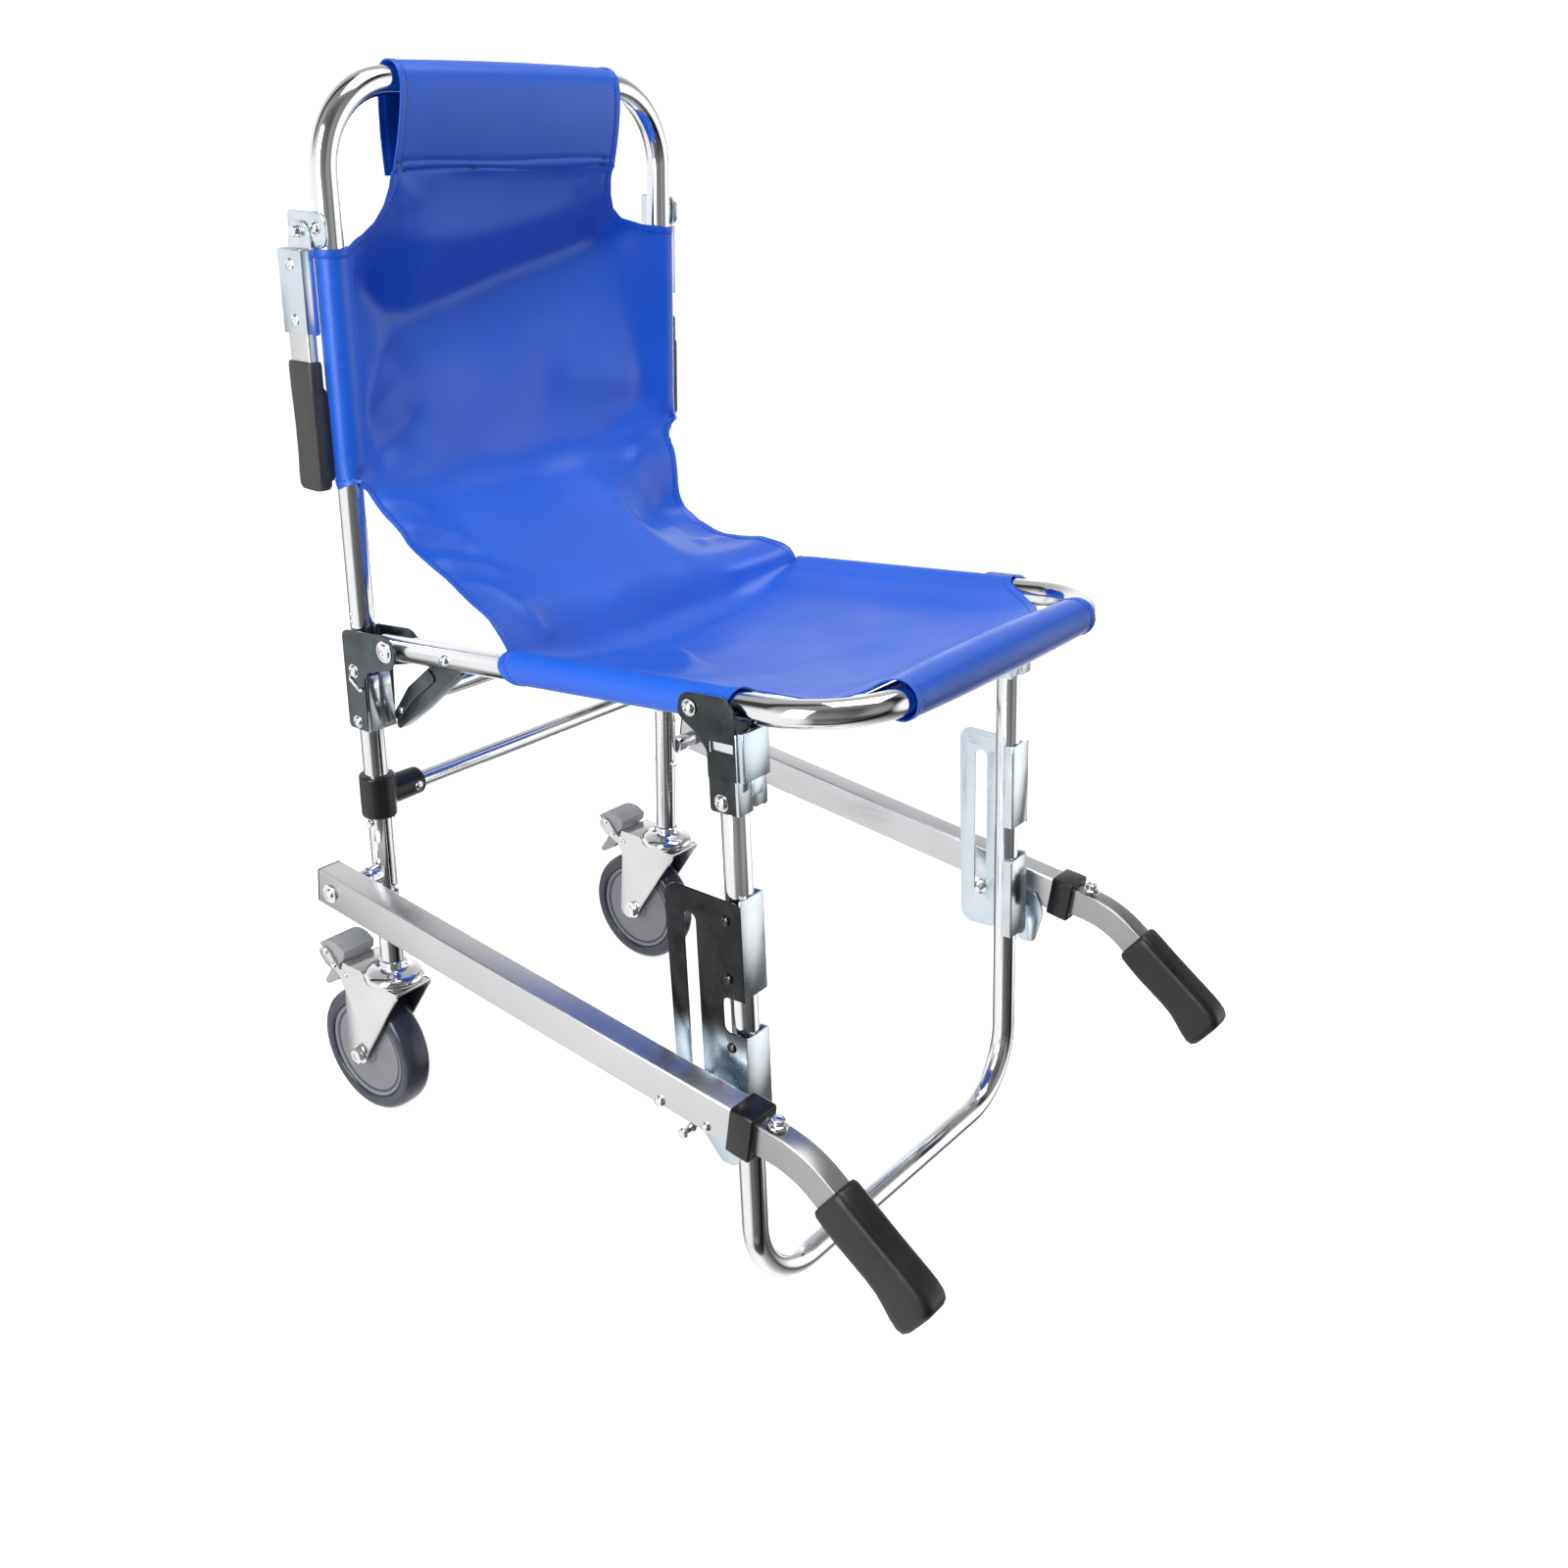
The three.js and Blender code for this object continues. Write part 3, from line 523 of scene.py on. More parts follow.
    nt, bsdf, c = new_material("thread")
    twist = node(nt, "ShaderNodeTexWave", {"Scale": 900, "Vector": c}).outputs["Fac"]
    fill(nt, bsdf, {"Base Color": tint(nt, twist, (0.008, 0.045, 0.27), (0.016, 0.075, 0.40)),
                    "Roughness": 0.6})
    bump(nt, bsdf, (twist, 0.1, 0.5))


make_materials()
for entry in frame["record"]["subparts"]:
    ob = frame["nodes"][entry["node"]]
    mat = MATS[FINISHES[entry["material_slot"]][0]]
    for slot in ob.material_slots:
        slot.material = mat
    if not ob.material_slots:
        ob.data.materials.append(mat)

# ------------------------------------------------------------------ small parts
def disc(x0, x1, y, z, r, rim, n):
    """A disc or bar on an X axis, its edges broken by rim."""
    return turned([(0, x0), (r - rim, x0), (r, x0 + rim), (r, x1 - rim), (r - rim, x1), (0, x1)],
                  (0, y, z), "X", n)


def washer(x0, x1, y, z, r):
    return disc(x0, x1, y, z, r, min(0.35, abs(x1 - x0) * 0.3), 40)


def rod(x0, x1, y, z, r, n=32):
    return disc(x0, x1, y, z, r, min(0.4, r * 0.2), n)


def dome(x0, out, y, z, r, h, recess=True, n=36):
    """A domed bolt or rivet head that stands h proud of x0; out is +1 or -1."""
    prof = [(0, 0), (1, 0), (1, 0.14), (0.95, 0.42), (0.82, 0.68), (0.62, 0.88), (0.40, 0.98)]
    if recess:
        prof += [(0.34, 0.99), (0.27, 0.70), (0.12, 0.45), (0, 0.42)]
    else:
        prof += [(0.2, 1), (0, 1)]
    s = turned([(a * r, b * h) for a, b in prof], (0, y, z), "X", n)
    s.v = [(x0 + out * x, b, c) for x, b, c in s.v]
    return s


def hexagon(x0, out, y, z, r, h, turn=0.2):
    """A chamfered hexagon bolt head on an X axis."""
    rings = []
    for rad, depth in ((r, 0), (r, 0.78 * h), (0.86 * r, h), (0.45 * r, h), (0.42 * r, 0.9 * h)):
        rings.append([(x0 + out * depth, y + rad * math.cos(turn + k * math.pi / 3),
                       z + rad * math.sin(turn + k * math.pi / 3)) for k in range(6)])
    return loft(rings)


# ------------------------------------------------------------------- tube frames
def tubes():
    ring = circle(TUBE_R, 56)
    back = bent([(-POST_X, 0, POST_BOTTOM), (-POST_X, 0, TOP_Z), (POST_X, 0, TOP_Z),
                 (POST_X, 0, POST_BOTTOM)], BEND_R, 24)
    piece("back_tube", sweep(back, ring), CHAIR, "polished", "back_frame", "back_frame_tube")
    seat = bent([(-POST_X, 15, 0), (-POST_X, -SEAT_REACH, 0), (POST_X, -SEAT_REACH, 0),
                 (POST_X, 15, 0)], BEND_R - 3, 24)
    piece("seat_frame_tube", sweep(seat, ring), SEAT, "polished", "seat", "seat_tube", bevel=0.6)
    drop = (LEG_Z - TUBE_R - LEG_AXIS * math.sin(LEG_LEAN)) / math.cos(LEG_LEAN)
    leg = bent([(-LEG_X, LEG_AXIS, -22), (-LEG_X, LEG_AXIS, -drop), (LEG_X, LEG_AXIS, -drop),
                (LEG_X, LEG_AXIS, -22)], BEND_R, 24)
    piece("leg_frame_tube", sweep(leg, ring), LEG, "polished", "front_leg", "front_leg_tube", bevel=0.6)
    piece("cross_bar", rod(-169, 169, 0, 334, 8, 44), CHAIR, "polished", "back_frame", "cross_tube")
    piece("seat_cross_bar", rod(-179.3, 179.3, -2, -42.5, 10.5, 48), SEAT, "polished", "seat",
          "seat_cross_tube")


def pins():
    """Rivets and small pins on the posts."""
    s = Shape()
    for z in (497, 503.5):
        s.join(dome(POST_X + TUBE_R - 0.3, 1, 1.5, z, 1.7, 1.0, False))
    through = [(0, -14.2), (3.2, -13.8), (3.6, -12.6), (3.4, -11), (2.6, -10.5)]
    s.join(turned(both_ways(through), (POST_X, 0, 246), "Y", 24))
    side = [(0, -14.2), (3.2, -13.8), (3.6, -12.6), (2.6, -10.5)]
    s.join(turned(both_ways(side), (POST_X, 0, 310), "X", 24))
    pair("post_pins_{}", s, CHAIR, "bright", "back_frame")


# --------------------------------------------------------------- T clamps (black)
def clamps():
    z0 = 335.0
    outer = turned([(0, 316), (15.0, 316), (15.7, 317), (15.9, 335), (15.7, 354), (15.0, 355),
                    (0, 355)], (POST_X, 0, 0), "Z", 44)
    arm = turned([(0, 148), (11.8, 148), (12.6, 149), (12.9, 165), (13.2, 193), (0, 193)],
                 (0, 0, z0), "X", 40)
    body = moulded(0.9, 8, outer, arm)
    bore = turned([(0, 300), (TUBE_R + 0.15, 300), (TUBE_R + 0.15, 370), (0, 370)],
                  (POST_X, 0, 0), "Z", 56)
    hole = turned([(0, 140), (8.15, 140), (8.15, 180), (0, 180)], (0, 0, 334), "X", 44)
    body = combine(body, bore, hole)
    pair("clamp_{}", body, CHAIR, "black", "back_frame", "cross_clamp_{}", angle=40)
    rivet = turned([(0, -14.2), (2.2, -14.2), (3.9, -13.6), (4.4, -12.6), (4.4, -12), (2.5, -12),
                    (2.5, 12), (4.4, 12), (4.4, 12.6), (3.9, 13.6), (2.2, 14.2), (1.6, 13.3),
                    (0, 13.1)], (157, 0, z0), "Y", 28)
    pair("clamp_rivet_{}", rivet, CHAIR, "bright", "back_frame")


# ---------------------------------------------------------------- seat brackets
def seat_brackets():
    ear = rounded([(12, 401, 4), (12, 489, 7), (-46, 494, 14), (-57.5, 480, 13), (-48, 464, 12),
                   (-17, 456, 5), (-14.6, 401, 2)], 6)
    s = stack(plate(ear, POST_X + 12.4, POST_X + 14.6), plate(ear, POST_X - 14.6, POST_X - 12.4))
    web = stack(block(POST_X - 14.6, POST_X + 0.2, -15.4, -12.6, 401, 456),
                block(POST_X + 1.2, POST_X + 14.6, -15.4, -12.6, 401, 451))
    # the side plates are near-black zinc, a painted dark reflection; the web is plain zinc
    pair("bracket_{}", s, CHAIR, "zinc_painted_dark_reflection", "back_frame", "seat_bracket_{}", bevel=0.55)
    pair("bracket_web_{}", web, CHAIR, "zinc", "back_frame", bevel=0.5)
    bolts = stack(
        washer(POST_X + 14.5, POST_X + 15.1, 0, 454, 6.2), dome(POST_X + 15, 1, 0, 454, 5.2, 2.6),
        washer(POST_X + 14.5, POST_X + 15.1, 0, 408, 5.6), dome(POST_X + 15, 1, 0, 408, 4.6, 2.4),
        dome(POST_X - 14.5, -1, 0, 454, 5, 2.2, False), dome(POST_X - 14.5, -1, 0, 408, 5, 2.2, False),
    )
    # spring clip lying across the plate below the middle bolt
    clip = bent([(POST_X + 15.2, 3, 452), (POST_X + 15.9, 3.5, 446), (POST_X + 15.9, -8, 438),
                 (POST_X + 15.9, -12, 441)], 2.2, 5)
    bolts.join(sweep(clip, circle(1.5, 14)))
    pair("bracket_bolts_{}", bolts, CHAIR, "bright", "back_frame")
    y, z = SEAT_PIVOT
    axle = stack(
        rod(POST_X - 20, POST_X + 15.4, y, z, 4),
        washer(POST_X + 14.7, POST_X + 15.7, y, z, 9.4),
        dome(POST_X + 15.6, 1, y, z, 7.2, 2.2),
        washer(POST_X - 15.6, POST_X - 14.7, y, z, 9),
        hexagon(POST_X - 15.5, -1, y, z, 7.4, 5.2),
    )
    pair("seat_axle_{}", axle, CHAIR, "bright", "back_frame", "seat_pivot_bolt_{}")


def stays():
    out = POST_X - TUBE_R - 0.2
    outline = rounded([(-82, 5, 5), (-48, 5, 5), (-24, -16, 4), (2, -35, 6), (27, -64, 4),
                       (33, -81.8, 3), (28, -78.6, 0), (-1, -60.5, 0), (-58.6, -19, 0),
                       (-82, -3, 5)], 5)
    flange = [(-56, -20.9), (-1, -60.5), (28, -78.6), (29.1, -76.9), (0.1, -58.8), (-54.8, -19.3)]
    s = stack(plate(outline, out - 2.2, out), plate(flange, out - 14, out - 1))
    # pressed step and the overlapping inner link
    link = rounded([(-30, -27, 4), (4, -50, 4), (27, -72, 3), (30, -64, 3), (7, -38, 4),
                    (-22, -18, 4)], 4)
    s.join(plate(link, out - 0.1, out + 1.5))
    # near-black zinc: painted dark reflection
    pair("stay_{}", s, SEAT, "zinc_painted_dark_reflection", "seat", "seat_brace_{}", bevel=0.5)
    rivets = stack(dome(POST_X + TUBE_R - 0.4, 1, -69, 0, 4.6, 3.0, True),
                   rod(out - 5, out, -69, -1, 4.5),
                   dome(out + 1.4, 1, 20, -60, 3.0, 1.6, False))
    pair("stay_rivet_{}", rivets, SEAT, "bright", "seat")


# ---------------------------------------------------------------- leg brackets
def leg_brackets():
    lo = POST_X + 16.4
    a = LEG_AXIS
    foot = [(-6, -19, 9), (a + 12, -30, 4), (a + 12, -50, 1)]
    ear = rounded([(a - 14.4, -50, 1), (a - 14.4, 1, 5), (a - 8, 11.6, 11), (9, 10.8, 10),
                   (12, -7, 8)] + foot, 6)
    inner_ear = rounded([(a - 14.4, -50, 1), (a - 14.4, -5, 4), (a - 8, 7.2, 9), (9, 7.0, 9),
                         (12, -7, 8)] + foot, 6)
    low = rounded([(a - 14.4, -76, 2), (a - 14.4, -40, 0), (a + 12, -40, 0), (a + 12, -76, 3)], 5)
    window = block(lo - 2, lo + 5, a - 12.2, a + 10.6, -31, -22)
    s = combine(plate(ear, lo + 0.2, lo + 2), window)
    s.join(plate(low, lo - 0.6, lo + 1.2))
    s.join(plate(inner_ear, POST_X - 15.6, POST_X - 13.4))
    s.join(plate(low, POST_X - 15.6, POST_X - 13.5))
    # the near plate is near-black zinc, a painted dark reflection; the far copy is pale zinc
    made = pair("leg_plate_{}", s, LEG, "zinc_painted_black_reflection", "front_leg", "leg_bracket_{}", bevel=0.5)
    made[0].data.materials[0] = MATS["zinc_light"]
    web = stack(block(POST_X - 15.4, POST_X - 1, a - 15.2, a - 12.3, -74, -14),
                block(POST_X + 1.5, lo + 1.8, a - 15.2, a - 12.3, -76, -14),
                block(lo - 4.5, lo - 0.4, a - 12.4, a + 10.4, -32, -21))
    pair("leg_plate_web_{}", web, LEG, "zinc", "front_leg", bevel=0.6)
    bolts = stack(washer(lo + 1.1, lo + 1.9, a + 1, -68, 6.6), dome(lo + 1.8, 1, a + 1, -68, 5.8, 3.2),
                  dome(POST_X - 15.5, -1, a + 1, -68, 5.6, 2.6, False))
    pair("leg_plate_bolt_{}", bolts, LEG, "bright", "front_leg")
    clip = stack(
        block(POST_X - 13, POST_X + 17, a - 20.6, a - 18.8, -50, -13),
        block(POST_X - 13, POST_X - 11.2, a - 20.6, a - 15.3, -50, -13),
        block(POST_X + 15.2, POST_X + 17, a - 20.6, a - 15.3, -50, -13),
        block(POST_X - 4, POST_X + 8, a - 20.6, a - 18.8, -62, -49),
    )
    pair("leg_clip_{}", clip, LEG, "zinc_light", "leg_lock_{}", "leg_lock_{}", bevel=0.7)
    lp = -LEG_REACH
    axle = stack(
        rod(POST_X - 19, POST_X + 19, lp, 0, 4),
        washer(POST_X + 18.6, POST_X + 19.6, lp, 0, 6.4),
        dome(POST_X + 19.5, 1, lp, 0, 5.2, 3.2),
        washer(POST_X - 16.6, POST_X - 15.8, lp, 0, 6.2),
        hexagon(POST_X - 16.5, -1, lp, 0, 5.2, 3),
    )
    pair("leg_axle_{}", axle, SEAT, "bright", "seat", "leg_pivot_bolt_{}")


def slot_plates():
    px = LEG_X + TUBE_R + 3.5
    f = LEG_AXIS - TUBE_R - 0.3
    w = 6.2
    y0, rest, top = 10.5, -303.2, -303.2 + 135.4
    # the plate follows the leg tube in front: a shallow bend runs down beside it
    outline = rounded([(f - 1.9, -342, 9), (32, -342, 14), (34, -140, 12), (f - 1.9, -145, 2)], 8)
    skin = plate(outline, px, px + 2)
    hole = plate(rounded([(y0 - w, rest - w, w - 0.1), (y0 + w, rest - w, w - 0.1),
                          (y0 + w, top + w, w - 0.1), (y0 - w, top + w, w - 0.1)], 8),
                 px - 3, px + 5)
    window = plate(rounded([(f - 8, -254, 0), (LEG_AXIS + 8, -254, 6), (LEG_AXIS + 8, -224, 6),
                            (f - 8, -224, 0)], 6), px - 3, px + 5)
    skin = combine(skin, hole, window)
    # the near plate has the painted reflection, dark at the top and pale at the foot; the far copy is pale
    # zinc
    made = pair("slotted_plate_{}", skin, LEG, "zinc_painted_reflection", "front_leg", "slot_plate_{}", bevel=0.5)
    made[0].data.materials[0] = MATS["zinc_light"]
    web = stack(
        block(LEG_X - 12, px + 1.6, f - 2, f - 0.3, -222.5, -142),
        block(LEG_X - 12, px + 1.6, f - 2, f - 0.3, -334, -255.5),
        block(LEG_X - 12, LEG_X - 10.3, f - 2, f + 9, -222.5, -142),
        block(LEG_X - 12, LEG_X - 10.3, f - 2, f + 9, -334, -255.5),
    )
    pair("slotted_web_{}", web, LEG, "zinc", "front_leg", bevel=0.6)
    screws = Shape()
    for z in (-160, -208, -266, -322):
        screws.join(dome(px + 1.9, 1, LEG_AXIS + 1, z, 4.4, 2.4))
        screws.join(rod(LEG_X + TUBE_R - 2, px + 1, LEG_AXIS + 1, z, 4.2))
    screws.join(dome(px + 1.9, 1, 26, -332, 3.2, 1.6, False))
    pair("slotted_screws_{}", screws, LEG, "screw_dark", "front_leg")
    pin = stack(rod(px - 5, RAIL_X - 12.3, y0, rest, 3.0),
                washer(px + 2.3, px + 5.4, y0, rest, 7.6))
    pair("slot_runner_{}", pin, LEG, "bright", "slot_pin_{}", "slot_pin_{}")


# ------------------------------------------------------------------- side rails
def rails():
    w, h = RAIL_W / 2, RAIL_H / 2
    outer = rectangle(w, h, 1.6)
    body = along_rail(outer, -RAIL_FRONT, RAIL_BACK)
    body = combine(body, along_rail(rectangle(w - 2, h - 2, 0.6, 3), -RAIL_FRONT - 3, RAIL_BACK - 1.5))
    pair("rail_tube_{}", body, RAIL, "satin", "rail_{}", "side_rail_{}", bevel=0.25, angle=25)
    cap = along_rail(outer, RAIL_BACK + 0.2, RAIL_BACK + 2)
    pair("rail_cap_{}", cap, RAIL, "black", "rail_{}", "rail_end_cap_{}", bevel=0.6)
    heads = stack(
        dome(RAIL_X + w - 0.2, 1, -385.5, -11, 5.0, 3.4, False),
        dome(RAIL_X + w - 0.2, 1, -431, -9.5, 4.2, 3.4, False),
        washer(RAIL_X - w - 2.2, RAIL_X - w + 0.2, -431, -9.5, 5.0),
        dome(RAIL_X - w + 0.2, -1, -385.5, -11, 4.6, 2.4, False),
    )
    pair("rail_heads_{}", heads, RAIL, "bright", "rail_{}")
    y, z = RAIL_PIVOT
    bolt = stack(
        turned([(0, 11.2), (9, 11.2), (9.4, 12), (9.4, 22), (8.2, 23.5), (8.2, 38.0), (0, 38.0)],
               (POST_X, y, z), "X", 40),
        washer(RAIL_X + w + 0.1, RAIL_X + w + 1.3, y, z, 8.6),
        dome(RAIL_X + w + 1.2, 1, y, z, 5.0, 2.3, False),
    )
    pair("rail_axle_{}", bolt, CHAIR, "bright", "back_frame", "rail_pivot_bolt_{}")


def collars():
    body = loft([[(RAIL_X + x, y, RAIL_RISE + z) for x, z in rectangle(a, b, r)] for y, a, b, r in (
        (-451.8, 13.6, 18.0, 1.8), (-452.6, 14.8, 19.2, 2.2), (-462, 15.0, 19.5, 2.2),
        (-472.8, 15.0, 19.5, 2.2), (-474.0, 14.0, 18.4, 2.0))])
    sleeve = along_rail(rectangle(12.2, 16.5), -470.2, -450)
    mouth = along_rail(rectangle(9.7, 13.3, 1.2), -480, -460)
    pair("collar_{}", combine(body, sleeve, mouth), RAIL, "black_gloss", "rail_{}",
         "rail_collar_{}", bevel=0.3, angle=40)


def latches():
    x = RAIL_X - RAIL_W / 2
    tab = rounded([(-388, -17, 10), (-396, -7, 5), (-438, -2, 6), (-450, -18, 9), (-447, -54, 9),
                   (-432, -58, 10), (-408, -38, 12)], 8)
    s = plate(tab, x - 3.4, x - 1.4)
    pair("latch_tab_{}", s, RAIL, "zinc_light", "rail_latch_{}", "rail_latch_{}", bevel=0.6)
    rod_ = stack(rod(x - 4.4, x + 26.2, -411, -26.5, 2.6),
                 washer(x + 14, x + 17.5, -411, -26.5, 4.2),
                 turned([(0, x + 24.0), (4.2, x + 24.0), (4.6, x + 24.8), (4.4, x + 26.0),
                         (3.2, x + 27.1), (0, x + 27.5)], (0, -411, -26.5), "X", 30))
    pair("latch_pin_{}", rod_, RAIL, "bright", "rail_latch_{}")


# ----------------------------------------------------------------- carry handles
def along_grip(s):
    return (RAIL_X, -512 - s * math.cos(GRIP_TURN), RAIL_RISE - s * math.sin(GRIP_TURN))


def carry_handles():
    path = bent([(RAIL_X, -100, RAIL_RISE), (RAIL_X, -512, RAIL_RISE), along_grip(122)], 90, 22)
    arm = sweep(path, rectangle(9.4, 13, 1.5, 4))
    hole = turned([(0, 2.5), (4.4, 2.5), (4.4, 40), (0, 40)], (RAIL_X, -486, 0), "Z", 30)
    pair("carry_bar_{}", combine(arm, hole), RAIL, "satin_dark", "carry_handle_{}",
         "carry_arm_{}", bevel=0.2, angle=25)
    knob = turned([(0, 5.5), (4, 5.5), (4, 16.6), (8.4, 16.6), (8.6, 17.2), (7.4, 18.4), (5.4, 19.2),
                   (5.0, 20.0), (5.8, 20.9), (5.9, 22.2), (5.0, 23.4), (3.6, 23.5), (3.0, 22.6),
                   (0, 22.4)], (RAIL_X, -486, 0), "Z", 8)
    pair("release_knob_{}", knob, RAIL, "bright", "release_button_{}", "release_button_{}", bevel=0.3)
    grip_frame = RAIL @ Matrix.Translation((0, *along_grip(34)[1:])) @ Matrix.Rotation(GRIP_TURN, 4, "X")
    grip = loft([[(RAIL_X + a, y, (top + low) / 2 + b) for a, b in soft_box(w, (top - low) / 2, 0.42, 64)]
                 for y, w, top, low in (
        (1.0, 12.6, 16.2, -15.6), (0.0, 13.6, 17.2, -17.0), (-3, 14.3, 18.2, -18.6),
        (-12, 14.4, 18.4, -19.6), (-26, 14.2, 18.3, -20.2), (-42, 14.0, 18.4, -19.8),
        (-58, 13.9, 18.6, -19.4), (-70, 14.0, 18.8, -20.0), (-80, 14.3, 18.9, -22.4),
        (-90, 14.5, 18.6, -25.4), (-98, 14.4, 17.2, -26.8), (-103, 13.4, 14.2, -25.6),
        (-105.4, 11.2, 9.6, -21.0), (-106, 7.0, 4.0, -14.0),
    )])
    pocket = along_rail(rectangle(9.7, 13.3), -88, 8, 0)
    pair("grip_{}", combine(grip, pocket), grip_frame, "black", "carry_handle_{}",
         "carry_grip_{}", angle=38)


# ------------------------------------------------------------------ rear handles
def rear_handles():
    hy, hz = HINGE_Y, HINGE_Z
    hx = POST_X + 20.2
    mount = rounded([(-13, 797, 10), (-13, 824, 12), (32, 824, 3), (32, 797, 2)], 7)
    pair("handle_mount_{}", plate(mount, POST_X + 11.3, POST_X + 13.5), CHAIR, "zinc_light",
         "back_frame", "rear_handle_mount_{}", bevel=0.6)
    bolts = stack(washer(POST_X + 13.3, POST_X + 14, -1, 812, 5.8),
                  dome(POST_X + 13.9, 1, -1, 812, 4.6, 2.6))
    pair("handle_mount_bolt_{}", bolts, CHAIR, "bright", "back_frame")
    outline = rounded([(hy - 14, 731, 3), (hy - 14, 802, 5), (hy - 8, 817, 9), (hy + 9, 817, 9),
                       (hy + 14, 802, 5), (hy + 14, 731, 3)], 6)
    bracket = stack(plate(outline, hx - 6.1, hx - 4.1),
                    block(hx - 6.1, hx + 5.4, hy - 14.2, hy - 12.4, 733, 796),
                    block(hx - 6.1, hx + 5.4, hy + 12.4, hy + 14.2, 733, 796),
                    block(hx + 5.3, hx + 6.6, hy - 14.2, hy + 14.2, 733, 796))
    pair("handle_hinge_{}", bracket, CHAIR, "zinc_light", "rear_handle_{}",
         "rear_handle_bracket_{}", bevel=0.7)
    bolts = stack(rod(POST_X + 10.4, hx + 1, hy, hz, 4), dome(hx - 4.0, 1, hy, hz, 4.4, 1.0, False),
                  dome(hx + 6.5, 1, hy, 785, 5.0, 1.6), dome(hx + 6.5, 1, hy, 743, 5.0, 1.6))
    pair("handle_bolts_{}", bolts, CHAIR, "bright", "rear_handle_{}")
    pair("handle_bar_{}", block(hx - 3.8, hx + 5.0, hy - 12, hy + 12, 614, 797), CHAIR, "satin",
         "rear_handle_{}", "rear_handle_arm_{}", bevel=1.2, segments=3)
    grip = loft([[(hx + 1.0 + a, hy + (lo + hi) / 2 + b, z) for a, b in soft_box(w, (hi - lo) / 2, 0.5, 56)]
                 for z, w, lo, hi in (
        (711.6, 5.8, -13.6, 13.6), (711.0, 6.8, -14.8, 14.8), (708, 7.3, -15.2, 15.2),
        (690, 7.3, -15.0, 15.0), (684, 7.2, -14.2, 14.8), (660, 7.0, -13.4, 14.0),
        (636, 7.1, -13.8, 14.2), (622, 7.3, -15.0, 15.2), (613, 7.2, -14.6, 15.0),
        (609.6, 6.2, -12.6, 13.0), (608.4, 3.8, -8.0, 8.0),
    )])
    # raised rib down the front of the grip
    rib = plate(rounded([(hy - 14.6, 616, 4), (hy - 14.6, 688, 6), (hy - 6.5, 693, 3),
                         (hy - 6.5, 616, 3)], 5), hx - 6.8, hx + 7.4)
    room = (hx - 4.0, hx + 5.2, hy - 12.2, hy + 12.2)
    grip = stack(combine(grip, block(*room, 613.6, 720)), combine(rib, block(*room, 600, 720)))
    pair("rear_grip_{}", grip, CHAIR, "black_soft", "rear_handle_{}", "rear_handle_grip_{}",
         bevel=0.5, angle=40)


